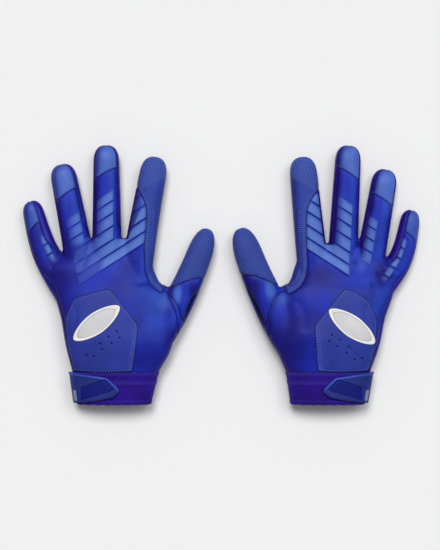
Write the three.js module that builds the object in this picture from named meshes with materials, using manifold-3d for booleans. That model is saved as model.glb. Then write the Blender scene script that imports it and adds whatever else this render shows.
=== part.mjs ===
// A pair of batting gloves, laid palm down side by side with the fingers spread.
// Each glove is cut from one hollow hand form: the form's thin wall is slit along the seams,
// and the panels that fall apart are the leather and fabric pieces that are sewn together.
// Lengths are millimetres. Seen from above, X runs across the hands, Y towards the fingertips
// and Z up from the table, with the origin in the middle of the pair's footprint.
// A hand is drawn as a left one, with its thumb on +X, and measured from the middle of its
// cuff's hem. The right one has its own stance and is mirrored.
import * as THREE from "three";
import { mergeVertices } from "three/addons/utils/BufferGeometryUtils.js";
import Module from "manifold-3d";

const wasm = await Module();
wasm.setup();

// Whole glove
const gloveLength = 220; // hem to middle fingertip
const palmBreadth = 88; // across the knuckles
const handHeight = 30; // the filled hand's height at the heel
const cuffDistance = 184; // between the two cuffs' middles
const panelWall = 1.2; // leather or fabric with its lining
const seamGap = 0.35; // slit between two sewn panels
const layerGap = 0.3; // between a layer and what it lies on

// Fingers
const fingerWidth = { thumb: 23.5, index: 24.2, middle: 23, ring: 22.8, little: 17.8 };
// Their heights, as shares of handHeight
const fingerHeightShare = { thumb: 0.642, index: 0.581, middle: 0.583, ring: 0.578, little: 0.498 };
// Length of the rounded end, as a share of the stall's width
const tipRoundingShare = { finger: 0.62, thumb: 0.95 };
const tipFullness = 2.5; // 2 is an ellipse, more is blunter
const sectionFullness = 2.35; // the same for the cross-section
const restClearance = 0.4; // a stall's underside above the table

// Leather on the fingers, measured back from the fingertip
const capUlnarLength = 30; // fingertip cap, on its little-finger side
const capThumbwardLength = 20;
const indexLeatherBack = 28; // the index finger's leather, on its little-finger side
const indexSeamCorner = 36; // where its seam turns to run down the finger
const indexSeamStraight = 72; // where that seam starts to sweep into the thumb web

// Cuff
const cuffLength = 27;
const cuffWall = 1.9;
const cuffLift = 2.6; // the knit's underside above the table, over the strap
const cuffHeight = 22.5;
const hemBreadth = 63;
const hemTowardsThumb = 1; // the hem's middle, from the glove's own middle
const hemLength = 4;
const hemProud = 0.4; // the hem's fold stands out from the cuff
const slitWidth = 2.6; // vent slit on the palm side
const slitFromMiddle = 18;
const slitIntoPalm = 20;
const elasticWidth = 9; // the gathering elastic inside the wrist
const elasticThickness = 0.9;
const elasticFromTop = 4;

// Closure: a moulded tab that comes round the cuff's little-finger edge
const tabThickness = 1.5;
const tabReach = 41; // from the cuff's edge to the tab's point
const hingeFromEdge = 6.2; // where the tab bends when it is peeled open
const tabRimWidth = 1.4;
const tabRecess = 0.7;
const gripRibs = 6;
const gripRibWidth = 1.1;
const gripRibHeight = 0.5;
const padThickness = 0.5;
const padMargin = 3; // inside the tab's edge
const padFromEdge = 13; // the pads start this far from the cuff's edge
const tagWidth = 3.6;
const tagLength = 9.5;
const tagThickness = 0.5;
const tagFromEdge = 0.7;
const tagFromHem = 3;

// Back of the hand
const patchThickness = 0.8;
const ventRadius = 0.8;
const badgeLength = 48;
const badgeBreadth = 18;
const badgeThickness = 1;
const badgeRimWidth = 1.8;
const badgeRimHeight = 0.6;
const badgeTurnDegrees = 36; // rising towards the index finger
const stripWidth = 7.2;
const stripPitch = 8.9;
const stripHeight = 0.5;
const stripCount = 6;
const stripTurnDegrees = 33; // rising towards the thumb

// Modelling
const overrun = 4; // how far a cutter reaches past what it cuts
const ringSides = 10;
const palmSides = 16;
const ventSides = 6;
const badgeSides = 16;
const badgeFullness = 1.7; // 2 is an ellipse, less is more pointed
const probe = 0.5; // thickness of the needle that finds a panel
const overShare = 0.33; // of handHeight: needles for the back start here
const underShare = 0.25; // and those for the palm end here
const handMiddleShares = [0, 0.33]; // where the palm and back panels are found
const thumbBackFromTip = 62; // where the thumb's back and palm panels are found
const gussetFromTip = 30; // where the outer two finger gussets are found
const indexGussetFromTip = 42; // and the one beside the index finger
const weld = 1e-4;
// A rounded fingertip's stations, as shares of its rounding from the tip
const tipShares = [0.5, 0.07];

// Where the stalls run. The first number of each pair is a share of palmBreadth, the second
// of gloveLength. A stall goes from its root inside the palm, past its web, to its tip.
const stallShares = {
  left: {
    thumb: [[0.25, 0.175], [0.46, 0.28], [0.635, 0.405], [0.785, 0.532], [0.925, 0.68]],
    index: [[0.21, 0.47], [0.285, 0.668], [0.413, 0.96]],
    middle: [[-0.07, 0.48], [-0.061, 0.668], [-0.068, 1]],
    ring: [[-0.3, 0.47], [-0.376, 0.668], [-0.505, 0.932]],
    little: [[-0.37, 0.4], [-0.665, 0.59], [-0.808, 0.789]],
  },
  right: {
    thumb: [[0.22, 0.175], [0.42, 0.28], [0.6, 0.405], [0.73, 0.522], [0.865, 0.682]],
    index: [[0.136, 0.47], [0.186, 0.668], [0.257, 0.96]],
    middle: [[-0.125, 0.48], [-0.15, 0.668], [-0.198, 0.998]],
    ring: [[-0.365, 0.47], [-0.455, 0.668], [-0.562, 0.912]],
    little: [[-0.4, 0.4], [-0.7, 0.565], [-0.816, 0.754]],
  },
};
// The palm's outline: along the glove, little-finger edge, thumb edge, height share
const palmShares = {
  left: [
    [0.123, -0.39, 0.445, 1], [0.22, -0.452, 0.53, 1], [0.341, -0.507, 0.54, 0.98],
    [0.42, -0.566, 0.52, 0.92], [0.53, -0.668, 0.4, 0.79], [0.582, -0.545, 0.396, 0.69],
    [0.618, -0.41, 0.374, 0.62], [0.648, -0.273, 0.235, 0.54],
  ],
  right: [
    [0.123, -0.4, 0.415, 1], [0.22, -0.485, 0.49, 1], [0.341, -0.552, 0.48, 0.98],
    [0.42, -0.622, 0.465, 0.92], [0.53, -0.72, 0.325, 0.79], [0.582, -0.6, 0.3, 0.69],
    [0.623, -0.485, 0.284, 0.62], [0.655, -0.37, 0.14, 0.54],
  ],
};
// The web between index finger and thumb
const webShares = { left: [0.493, 0.452], right: [0.43, 0.452] };
// Heights of the seams round the hand's edge: along the glove, share of handHeight
const palmSeamShares = [[-1, 0.42], [0.35, 0.42], [0.55, 0.27], [0.66, 0.19], [2, 0.19]];
const backSeamShares = [[-1, 0.66], [0.35, 0.66], [0.55, 0.5], [0.66, 0.41], [2, 0.41]];
// Seams on the back near the thumb web, as shares of palmBreadth from the web
const indexSeamShares = [[-0.182, 0.25], [-0.108, 0.034], [-0.034, -0.04], [-0.02, 0.08]];
const thumbLeatherShares = [[0.03, 0.07], [0.08, -0.005], [0.22, 0.048], [0.44, 0.11]];
const thumbSeamShares = [
  [0.024, 0.03], [0.03, -0.05], [0.086, -0.125], [0.14, -0.213], [0.155, -0.28], [0.23, -0.41],
];
const thumbPalmShares = [[0, 0.1], [-0.03, -0.04], [0.01, -0.25], [0.07, -0.45], [0.3, -0.62]];
// The back patch and its vents, as shares of palmBreadth and gloveLength
const patchShares = [
  [-0.15, 0.438], [-0.02, 0.448], [0.25, 0.305], [0.242, 0.27], [0.193, 0.14],
  [-0.33, 0.14], [-0.4, 0.215], [-0.39, 0.33], [-0.31, 0.4],
];
const ventShares = [
  [0.05, 0.284], [-0.03, 0.264], [-0.108, 0.238], [-0.24, 0.194],
  [0.078, 0.26], [0, 0.24], [-0.09, 0.215], [-0.17, 0.19],
];
const badgeShares = [-0.145, 0.316];
const stripShares = [0.02, 0.541]; // the lowest raised strip passes here
// The strips end at the index finger's seam and at the little finger's edge.
const stripFieldShares = [
  [-0.7, 0.44], [-0.24, 0.466], [0.02, 0.49], [0.24, 0.56], [0.3, 0.66], [0.3, 0.86], [-0.9, 0.86],
];
// The tab and its recess, as shares of tabReach from the cuff's edge and of cuffLength
const tabShares = [
  [-0.1, 0.97], [0.5, 0.91], [0.78, 0.85], [0.97, 0.54], [1, 0.45], [0.98, 0.3], [0.87, 0.16],
  [0.3, 0.06], [-0.1, 0.04],
];
const anchorShares = [
  [-0.1, 0.97], [0.02, 0.97], [0.25, 0.85], [0.61, 0.8], [0.61, 0.2], [0.25, 0.14], [0.02, 0.04],
  [-0.1, 0.04],
];
const recessShares = [[0.2, 0.55], [0.7, 0.74], [0.85, 0.5], [0.8, 0.3], [0.22, 0.2]];

// A stall's width at its root and at its tip, as shares of fingerWidth
const taperShares = {
  left: {
    thumb: [1.3, 0.88], index: [1.12, 0.93], middle: [1.12, 0.93], ring: [1.24, 0.95], little: [1.7, 0.93],
  },
  right: {
    thumb: [1.42, 0.92], index: [1.12, 0.93], middle: [1.33, 0.93], ring: [1.4, 0.93], little: [1.7, 0.93],
  },
};
// A stall's height and rise at its root, as shares, and the steps along it
const stallForm = {
  finger: { rootHeight: 1.08, rootRise: 0.1, steps: 2 },
  thumb: { rootHeight: 1.1, rootRise: 0.13, steps: 3 },
};
const stripShiftShare = -0.06; // of palmBreadth: the right hand's fingers lean further out
const fingerPalmHeight = 0.19 * handHeight; // seam heights along the fingers
const fingerSeamHeight = 0.41 * handHeight;

const fingers = ["index", "middle", "ring", "little"];
const up = new THREE.Vector3(0, 0, 1);

const colours = {
  stretch: [0x2b35b4, 0.45],
  leather: [0x3f51ae, 0.62],
  cap: [0x4f68bb, 0.5],
  gusset: [0x24108a, 0.6],
  patch: [0x3845a6, 0.5],
  knit: [0x2a1290, 0.85],
  moulded: [0x3550b4, 0.42],
  hookLoop: [0x1d1470, 0.95],
  badge: [0xe8e3e4, 0.4],
  tag: [0xa9aacb, 0.6],
};

// A solid for cutting and joining, from a closed geometry.
function toSolid(geometry) {
  const bare = new THREE.BufferGeometry();
  bare.setAttribute("position", geometry.getAttribute("position"));
  bare.setIndex(geometry.index);
  const merged = mergeVertices(bare, weld);
  return new wasm.Manifold(
    new wasm.Mesh({
      numProp: 3,
      vertProperties: new Float32Array(merged.attributes.position.array),
      triVerts: new Uint32Array(merged.index.array),
    }),
  );
}

// A mesh of a finished piece. The right hand's pieces are mirrored.
function toMesh(solid, side, name, kind) {
  const { vertProperties, triVerts } = solid.getMesh();
  const geometry = new THREE.BufferGeometry();
  geometry.setAttribute("position", new THREE.BufferAttribute(vertProperties, 3));
  if (side === "right") {
    geometry.scale(-1, 1, 1);
    triVerts.reverse();
  }
  geometry.setIndex(new THREE.BufferAttribute(triVerts, 1));
  geometry.translate(side === "right" ? cuffDistance / 2 : -cuffDistance / 2, 0, 0);
  geometry.computeVertexNormals();
  const [color, roughness] = colours[kind];
  const material = new THREE.MeshStandardMaterial({ color, roughness, metalness: 0 });
  const mesh = new THREE.Mesh(geometry, material);
  mesh.name = `${side}_${name}`;
  return mesh;
}

// A box between two corners, whichever way round they are given.
function block(from, to) {
  const low = from.clone().min(to);
  const high = from.clone().max(to);
  const size = high.clone().sub(low);
  const centre = low.add(high).multiplyScalar(0.5);
  return toSolid(new THREE.BoxGeometry(size.x, size.y, size.z).translate(centre.x, centre.y, centre.z));
}

// An upright prism over an outline in plan.
function prism(outline, from, to) {
  const shape = new THREE.Shape(outline.map(([x, y]) => new THREE.Vector2(x, y)));
  const body = new THREE.ExtrudeGeometry(shape, { depth: to - from, bevelEnabled: false });
  return toSolid(body.translate(0, 0, from));
}

// The outline of a band of one width along an open line.
function band(line, width) {
  const side = (sign) =>
    line.map(([x, y], i) => {
      const [ax, ay] = line[Math.max(i - 1, 0)];
      const [bx, by] = line[Math.min(i + 1, line.length - 1)];
      const along = Math.hypot(bx - ax, by - ay);
      const half = (sign * width) / 2;
      return [x - (half * (by - ay)) / along, y + (half * (bx - ax)) / along];
    });
  return [...side(-1), ...side(1).reverse()];
}

// An outline with its edges moved inwards by a distance.
function inset(outline, distance) {
  const count = outline.length;
  const area = outline.reduce((sum, [x, y], i) => {
    const [nextX, nextY] = outline[(i + 1) % count];
    return sum + x * nextY - nextX * y;
  }, 0);
  return outline.map(([x, y], i) => {
    const [ax, ay] = outline[(i + count - 1) % count];
    const [bx, by] = outline[(i + 1) % count];
    const before = new THREE.Vector2(x - ax, y - ay).normalize();
    const after = new THREE.Vector2(bx - x, by - y).normalize();
    const inward = new THREE.Vector2(-(before.y + after.y), before.x + after.x).normalize();
    inward.multiplyScalar((Math.sign(area) * distance) / (after.x * inward.y - after.y * inward.x));
    return [x + inward.x, y + inward.y];
  });
}

// An upright wall along a line in plan, which slits everything above a height.
const upright = (line, from) => prism(band(line, seamGap), from, handHeight + overrun);

// A sheet whose height changes along the glove, which slits the hand's edge.
function level(heights) {
  const width = 2 * gloveLength;
  const shape = new THREE.Shape(band(heights, seamGap).map(([y, z]) => new THREE.Vector2(y, z)));
  const body = new THREE.ExtrudeGeometry(shape, { depth: width, bevelEnabled: false });
  const [x, y] = [new THREE.Vector3(1, 0, 0), new THREE.Vector3(0, 1, 0)];
  body.applyMatrix4(new THREE.Matrix4().makeBasis(y, up, x));
  return toSolid(body.translate(-width / 2, 0, 0));
}

// A closed skin over rings that all have the same number of points.
function loft(rings) {
  const sides = rings[0].length;
  const faces = [];
  for (let r = 0; r + 1 < rings.length; r++) {
    for (let i = 0; i < sides; i++) {
      const a = r * sides + i;
      const b = r * sides + ((i + 1) % sides);
      faces.push(a, b + sides, b, a, a + sides, b + sides);
    }
  }
  const last = (rings.length - 1) * sides;
  for (let i = 1; i + 1 < sides; i++) {
    faces.push(0, i, i + 1);
    faces.push(last, last + i + 1, last + i);
  }
  const geometry = new THREE.BufferGeometry().setFromPoints(rings.flat());
  geometry.setIndex(faces);
  return toSolid(geometry);
}

// One cross-section: a full-sided oval across the line of travel, flat to the table.
function section(centre, along, halfWidth, halfHeight, sides) {
  const round = (value) => Math.sign(value) * Math.abs(value) ** (2 / sectionFullness);
  const across = new THREE.Vector3().crossVectors(along, up).normalize();
  return Array.from({ length: sides }, (_, i) => {
    const angle = (2 * Math.PI * (i + 0.5)) / sides;
    return centre
      .clone()
      .addScaledVector(across, halfWidth * round(Math.cos(angle)))
      .addScaledVector(up, halfHeight * round(Math.sin(angle)));
  });
}

const place = ([x, y]) => new THREE.Vector3(x * palmBreadth, y * gloveLength, 0);

// The middle line of a finger stall in plan.
const stallLine = (side, finger) =>
  new THREE.CatmullRomCurve3(stallShares[side][finger].map(place), false, "centripetal");

// A point beside a stall's middle line: so far back from the tip, and so far to the thumb side.
function beside(side, finger, fromTip, across) {
  const line = stallLine(side, finger);
  const at = 1 - fromTip / line.getLength();
  const point = line.getPointAt(at);
  const along = line.getTangentAt(at);
  return [point.x + along.y * across, point.y - along.x * across];
}

// A finger stall, grown or shrunk all round by an offset.
function stall(side, finger, offset) {
  const line = stallLine(side, finger);
  const length = line.getLength();
  const halfWidth = fingerWidth[finger] / 2;
  const halfHeight = (handHeight * fingerHeightShare[finger]) / 2;
  const kind = finger === "thumb" ? "thumb" : "finger";
  const rounding = fingerWidth[finger] * tipRoundingShare[kind];
  const shape = stallForm[kind];
  const [rootShare, tipShare] = taperShares[side][finger];
  const stations = [];
  for (let i = 0; i <= shape.steps; i++) {
    stations.push({ at: ((length - rounding) * i) / shape.steps, fullness: 1 });
  }
  for (const share of tipShares) {
    const fullness = (1 - (1 - share) ** tipFullness) ** (1 / tipFullness);
    stations.push({ at: length - rounding * share, fullness });
  }
  const rings = stations.map(({ at, fullness }) => {
    const share = at / length;
    const along = line.getTangentAt(share);
    const width = halfWidth * THREE.MathUtils.lerp(rootShare, tipShare, share) * fullness;
    const height = halfHeight * THREE.MathUtils.lerp(shape.rootHeight, 1, share) * fullness;
    const point = line.getPointAt(share).addScaledVector(along, offset * share);
    point.z = restClearance + halfHeight + shape.rootRise * handHeight * (1 - share);
    return section(point, along, width + offset, height + offset, ringSides);
  });
  return loft(rings);
}

// The body of the hand between cuff and webs. A bore gets a tail that reaches into the cuff.
function palm(side, offset, tail) {
  const rows = palmShares[side];
  const along = new THREE.Vector3(0, 1, 0);
  const rings = rows.map(([share, ulnar, radial, height], i) => {
    const last = i + 1 === rows.length;
    const halfHeight = (height * handHeight) / 2;
    const centre = new THREE.Vector3(
      ((ulnar + radial) / 2) * palmBreadth,
      i === 0 ? cuffLength + seamGap : share * gloveLength + (last ? offset : 0),
      i === 0 ? cuffLift + cuffHeight / 2 : halfHeight - panelWall,
    );
    const halfWidth = ((radial - ulnar) / 2) * palmBreadth;
    const half = i === 0 ? cuffHeight / 2 : halfHeight;
    return section(centre, along, halfWidth + offset, half + offset, palmSides);
  });
  if (tail > 0) {
    rings.unshift(rings[0].map((point) => point.clone().addScaledVector(along, -tail)));
  }
  return loft(rings);
}

// The whole hand form, grown or shrunk by an offset and cut flat at a height above the table.
function handForm(side, offset, tail, floor) {
  let form = palm(side, offset, tail);
  for (const finger of [...fingers, "thumb"]) {
    form = form.add(stall(side, finger, offset));
  }
  const reach = 2 * gloveLength;
  const corner = new THREE.Vector3(reach, reach, floor);
  return form.subtract(block(new THREE.Vector3(-reach, -reach, -reach), corner));
}

// A layer that follows the back of the hand between two offsets, over an outline in plan.
function layer(side, inner, outer, outline) {
  const skin = handForm(side, outer, 0, 0).subtract(handForm(side, inner, 0, 0));
  return skin.intersect(prism(outline, handHeight / 2, handHeight + overrun));
}

// Parallel raised strips across the fingers and knuckles, as one solid.
function flexStrips(side) {
  const turn = THREE.MathUtils.degToRad(stripTurnDegrees);
  const along = new THREE.Vector3(Math.cos(turn), Math.sin(turn), 0);
  const next = new THREE.Vector3(-along.y, along.x, 0);
  const start = place(stripShares);
  let strips;
  for (let i = 0; i < stripCount; i++) {
    const middle = start.clone().addScaledVector(next, stripPitch * (i + 0.5));
    const [a, b] = [-palmBreadth, palmBreadth].map((far) => middle.clone().addScaledVector(along, far));
    const strip = prism(band([[a.x, a.y], [b.x, b.y]], stripWidth), 0, handHeight);
    strips = strips ? strips.add(strip) : strip;
  }
  const shift = side === "right" ? stripShiftShare : 0;
  const field = stripFieldShares.map(place).map(({ x, y }) => [x + shift * palmBreadth, y]);
  const skin = handForm(side, stripHeight, 0, 0);
  return skin.intersect(strips).intersect(prism(field, fingerSeamHeight, handHeight));
}

// The seams that part the hand form's wall into panels.
function seams(side) {
  const heights = (shares) => shares.map(([y, z]) => [y * gloveLength, z * handHeight]);
  const web = place(webShares[side]);
  const fromWeb = (shares) =>
    shares.map(([x, y]) => [web.x + x * palmBreadth, web.y + y * palmBreadth]);
  const past = (finger) => fingerWidth[finger] / 2 + overrun;
  const reach = 2 * gloveLength;
  // The gussets' upper seam stops at the index finger's own leather.
  const indexStart = beside(side, "index", indexLeatherBack, -past("index"));
  const indexMiddle = beside(side, "index", indexLeatherBack, 0);
  const indexRoot = place(stallShares[side].index[0]);
  const gussetArea = [
    [-reach, -overrun],
    [0, -overrun],
    [0, cuffLength],
    [indexRoot.x, indexRoot.y],
    indexMiddle,
    indexStart,
    [indexStart[0], reach],
    [-reach, reach],
  ];
  const cuts = [
    level(heights(palmSeamShares)),
    level(heights(backSeamShares)).intersect(prism(gussetArea, 0, handHeight)),
    prism(band([indexStart, indexMiddle], seamGap), fingerPalmHeight, fingerSeamHeight),
  ];
  for (const finger of ["middle", "ring", "little"]) {
    const ulnar = beside(side, finger, capUlnarLength, -past(finger));
    const thumbward = beside(side, finger, capThumbwardLength, past(finger));
    cuts.push(upright([ulnar, thumbward], fingerSeamHeight));
    // A finger's two gussets meet at its tip.
    const [inX, inY] = beside(side, finger, fingerWidth[finger] / 2, 0);
    const [tipX, tipY] = beside(side, finger, 0, 0);
    const line = [[inX, inY], [2 * tipX - inX, 2 * tipY - inY]];
    cuts.push(prism(band(line, seamGap), fingerPalmHeight, fingerSeamHeight));
  }
  const indexTurn = beside(side, "index", indexSeamCorner, 0);
  const indexStraight = beside(side, "index", indexSeamStraight, 0);
  cuts.push(upright([indexStart, indexTurn], fingerSeamHeight));
  cuts.push(upright([indexTurn, indexStraight, ...fromWeb(indexSeamShares)], fingerPalmHeight));
  cuts.push(upright(fromWeb(thumbLeatherShares), fingerPalmHeight));
  cuts.push(upright(fromWeb(thumbSeamShares), fingerPalmHeight));
  return cuts;
}

// The seam on the palm side that goes round the thumb's base, cut from below.
function thumbPalmSeam(side) {
  const web = place(webShares[side]);
  const line = thumbPalmShares.map(([x, y]) => [web.x + x * palmBreadth, web.y + y * palmBreadth]);
  return prism(band(line, seamGap), -overrun, handHeight);
}

// The slit wall falls apart into panels, and a needle through each tells which one it is.
function handPanels(side) {
  const outer = handForm(side, 0, 0, 0).add(flexStrips(side));
  let wall = outer.subtract(handForm(side, -panelWall, overrun, panelWall));
  for (const cut of seams(side)) {
    wall = wall.subtract(cut);
  }
  const slitX = -slitFromMiddle;
  wall = wall.subtract(
    block(
      new THREE.Vector3(slitX - slitWidth / 2, 0, -overrun),
      new THREE.Vector3(slitX + slitWidth / 2, cuffLength + slitIntoPalm, handHeight / 2),
    ),
  );
  const pieces = wall.decompose().flatMap((piece) => {
    const lower = piece.boundingBox().min[2] < panelWall;
    return lower ? piece.subtract(thumbPalmSeam(side)).decompose() : [piece];
  });
  const find = (from, to) => {
    const needle = block(from.clone().subScalar(probe), to.clone().addScalar(probe));
    const caught = pieces.map((piece) => piece.intersect(needle).volume());
    return pieces[caught.indexOf(Math.max(...caught))];
  };
  const upTo = (from, to) => ([x, y]) =>
    find(new THREE.Vector3(x, y, from * handHeight), new THREE.Vector3(x, y, to * handHeight));
  const over = upTo(overShare, 1);
  const under = upTo(0, underShare);
  const between = (fromTip, ulnarFinger, thumbwardFinger) => {
    const height = (fingerPalmHeight + fingerSeamHeight) / 2;
    const [ax, ay] = beside(side, ulnarFinger, fromTip, 0);
    const [bx] = beside(side, thumbwardFinger, fromTip, 0);
    return find(new THREE.Vector3(ax, ay, height), new THREE.Vector3(bx, ay, height));
  };
  const middle = place(handMiddleShares);
  const edgeHeight = (handHeight * (palmSeamShares[1][1] + backSeamShares[1][1])) / 2;
  const thumbMiddle = beside(side, "thumb", thumbBackFromTip, 0);
  return {
    palm_panel: [under([middle.x, middle.y]), "leather"],
    back_panel: [over([middle.x, middle.y]), "stretch"],
    edge_gusset: [
      find(
        new THREE.Vector3(-palmBreadth, middle.y, edgeHeight),
        new THREE.Vector3(middle.x, middle.y, edgeHeight),
      ),
      "gusset",
    ],
    little_ring_gusset: [between(gussetFromTip, "little", "ring"), "gusset"],
    ring_middle_gusset: [between(gussetFromTip, "ring", "middle"), "gusset"],
    middle_index_gusset: [between(indexGussetFromTip, "middle", "index"), "gusset"],
    little_fingertip_cap: [over(beside(side, "little", fingerWidth.little / 2, 0)), "cap"],
    ring_fingertip_cap: [over(beside(side, "ring", fingerWidth.ring / 2, 0)), "cap"],
    middle_fingertip_cap: [over(beside(side, "middle", fingerWidth.middle / 2, 0)), "cap"],
    index_finger_wrap: [over(beside(side, "index", fingerWidth.index / 2, 0)), "leather"],
    thumb_wrap: [over(beside(side, "thumb", fingerWidth.thumb, 0)), "leather"],
    thumb_back_panel: [over(thumbMiddle), "stretch"],
    thumb_palm_panel: [under(thumbMiddle), "leather"],
  };
}

// The layers on the back of the hand: a vented patch and a blank raised badge.
function backLayers(side) {
  const patchOutline = patchShares.map(place).map(({ x, y }) => [x, y]);
  let patch = layer(side, layerGap, layerGap + patchThickness, patchOutline);
  for (const { x, y } of ventShares.map(place)) {
    const vent = new THREE.CylinderGeometry(ventRadius, ventRadius, handHeight, ventSides);
    patch = patch.subtract(toSolid(vent.rotateX(Math.PI / 2).translate(x, y, handHeight)));
  }
  const turn = THREE.MathUtils.degToRad(badgeTurnDegrees);
  const centre = place(badgeShares);
  const outline = Array.from({ length: badgeSides }, (_, i) => {
    const angle = (2 * Math.PI * i) / badgeSides;
    const round = (value) => Math.sign(value) * Math.abs(value) ** (2 / badgeFullness);
    const along = (badgeLength / 2) * round(Math.cos(angle));
    const across = (badgeBreadth / 2) * round(Math.sin(angle));
    return [
      centre.x + along * Math.cos(turn) - across * Math.sin(turn),
      centre.y + along * Math.sin(turn) + across * Math.cos(turn),
    ];
  });
  const bed = 2 * layerGap + patchThickness;
  const plate = layer(side, bed, bed + badgeThickness, outline);
  const middle = prism(inset(outline, badgeRimWidth), 0, handHeight + 2 * overrun);
  const rim = layer(side, bed, bed + badgeThickness + badgeRimHeight, outline).subtract(middle);
  return { patch, badge: plate.add(rim) };
}

// The knit cuff's form, a loft from hem to wrist, grown by an offset and lifted by a rise.
function cuffForm(side, offset, rise, from, to) {
  const [, ulnar, radial] = palmShares[side][0];
  const along = new THREE.Vector3(0, 1, 0);
  const wristMiddle = ((ulnar + radial) / 2) * palmBreadth;
  const wristBreadth = (radial - ulnar) * palmBreadth;
  const rings = [from, to].map((y) => {
    const share = y / cuffLength;
    const x = THREE.MathUtils.lerp(hemTowardsThumb, wristMiddle, share);
    const centre = new THREE.Vector3(x, y, cuffLift + cuffHeight / 2 + rise);
    const halfWidth = THREE.MathUtils.lerp(hemBreadth, wristBreadth, share) / 2;
    return section(centre, along, halfWidth + offset, cuffHeight / 2 + offset, palmSides);
  });
  return loft(rings);
}

// A ring of the cuff's form between two offsets.
function cuffRing(side, inner, outer, rise, from, to) {
  const bore = cuffForm(side, inner, rise, from - overrun, to + overrun);
  return cuffForm(side, outer, rise, from, to).subtract(bore);
}

// The knit cuff with its turned hem and vent slit, and the gathering elastic inside it.
function cuffKnit(side) {
  const middle = cuffLift + cuffHeight / 2;
  const slit = block(
    new THREE.Vector3(-slitFromMiddle - slitWidth / 2, -overrun, -overrun),
    new THREE.Vector3(-slitFromMiddle + slitWidth / 2, cuffLength + overrun, middle),
  );
  const cuff = cuffRing(side, -cuffWall, 0, 0, 0, cuffLength)
    .add(cuffRing(side, -cuffWall / 2, hemProud, 0, 0, hemLength))
    .subtract(slit);
  const outside = -cuffWall - layerGap;
  const to = cuffLength - elasticFromTop;
  const from = to - elasticWidth;
  const elastic = cuffRing(side, outside - elasticThickness, outside, 0, from, to).subtract(slit);
  return { cuff, elastic };
}

// The closure: its sewn end goes in under the cuff, and the tab bends open along a line near
// the cuff's edge. The strap stands just off the cuff's hem below, and over both pads above.
function closure(side) {
  const corner = (x, y, z) => new THREE.Vector3(x, y, z);
  const edge = palmShares[side][0][1] * palmBreadth;
  const hinge = edge + hingeFromEdge;
  const middle = cuffLift + cuffHeight / 2;
  const top = handHeight + overrun;
  const fromEdge = (shares) => shares.map(([x, y]) => [edge + x * tabReach, y * cuffLength]);
  const above = 3 * layerGap + 2 * padThickness;
  const below = layerGap + hemProud;
  const clear = (above + below) / 2;
  const rise = (above - below) / 2;
  const ring = cuffRing(side, clear, clear + tabThickness, rise, 0, cuffLength);
  const tabOutline = fromEdge(tabShares);
  const beyondHinge = block(
    corner(hinge + layerGap / 2, -overrun, 0),
    corner(palmBreadth, cuffLength + overrun, top),
  );
  const beforeHinge = block(
    corner(hinge - layerGap / 2, -overrun, 0),
    corner(-palmBreadth, cuffLength + overrun, top),
  );

  const recessOutline = fromEdge(recessShares);
  const [floor, crest] = [clear + tabThickness - tabRecess, clear + tabThickness + overrun];
  const recess = cuffRing(side, floor, crest, rise, 0, cuffLength);
  const ribArea = inset(recessOutline, tabRimWidth);
  const ribsFrom = Math.min(...ribArea.map(([x]) => x));
  const ribsTo = Math.max(...ribArea.map(([x]) => x));
  const ribPitch = (ribsTo - ribsFrom) / gripRibs;
  let ribField;
  for (let i = 0; i < gripRibs; i++) {
    const x = ribsFrom + ribPitch * (i + 0.5);
    const rib = prism(band([[x, -overrun], [x, cuffLength]], gripRibWidth), middle, top);
    ribField = ribField ? ribField.add(rib) : rib;
  }
  const ribs = cuffRing(side, clear, floor + gripRibHeight, rise, 0, cuffLength)
    .intersect(ribField)
    .intersect(prism(ribArea, middle, top));
  const tab = ring
    .intersect(prism(tabOutline, middle, top))
    .intersect(beyondHinge)
    .subtract(recess.intersect(prism(recessOutline, middle, top)))
    .add(ribs);

  const anchorOutline = fromEdge(anchorShares);
  const upper = ring.intersect(prism(tabOutline, middle, top)).intersect(beforeHinge);
  const lower = ring.intersect(prism(anchorOutline, 0, middle + probe));
  const anchor = upper.add(lower);

  const padOutline = inset(tabOutline, padMargin);
  const padArea = prism(padOutline, middle, top).intersect(
    block(corner(edge + padFromEdge, 0, 0), corner(palmBreadth, cuffLength, top)),
  );
  const loopPad = cuffRing(side, layerGap, layerGap + padThickness, 0, 0, cuffLength);
  const hookTop = clear - layerGap;
  const hookPad = cuffRing(side, hookTop - padThickness, hookTop, rise, 0, cuffLength);

  const hemEdge = hemTowardsThumb - hemBreadth / 2;
  const tagShare = (tagFromHem + tagLength / 2) / cuffLength;
  const tagEdge = THREE.MathUtils.lerp(hemEdge, edge, tagShare) - clear - tabThickness + tagFromEdge;
  const tagBed = clear + tabThickness + layerGap;
  const tag = cuffRing(side, tagBed, tagBed + tagThickness, rise, 0, cuffLength).intersect(
    block(
      corner(tagEdge, tagFromHem, middle),
      corner(tagEdge + tagWidth, tagFromHem + tagLength, top),
    ),
  );
  return { tab, anchor, loopPad: loopPad.intersect(padArea), hookPad: hookPad.intersect(padArea), tag };
}

const group = new THREE.Group();
for (const side of ["left", "right"]) {
  const add = (solid, name, kind) => group.add(toMesh(solid, side, name, kind));
  for (const [name, [solid, kind]] of Object.entries(handPanels(side))) {
    add(solid, name, kind);
  }
  const { patch, badge } = backLayers(side);
  add(patch, "back_patch", "patch");
  add(badge, "blank_badge", "badge");
  const { cuff, elastic } = cuffKnit(side);
  add(cuff, "knit_cuff", "knit");
  add(elastic, "wrist_elastic", "hookLoop");
  const { tab, anchor, loopPad, hookPad, tag } = closure(side);
  add(anchor, "strap_anchor", "moulded");
  add(tab, "closure_tab", "moulded");
  add(loopPad, "loop_pad", "hookLoop");
  add(hookPad, "hook_pad", "hookLoop");
  add(tag, "end_tag", "tag");
}

// The origin goes to the middle of the pair's footprint.
const bounds = new THREE.Box3().setFromObject(group);
const middle = bounds.getCenter(new THREE.Vector3());
for (const mesh of group.children) {
  mesh.geometry.translate(-middle.x, -middle.y, 0);
}
export default group;
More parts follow.
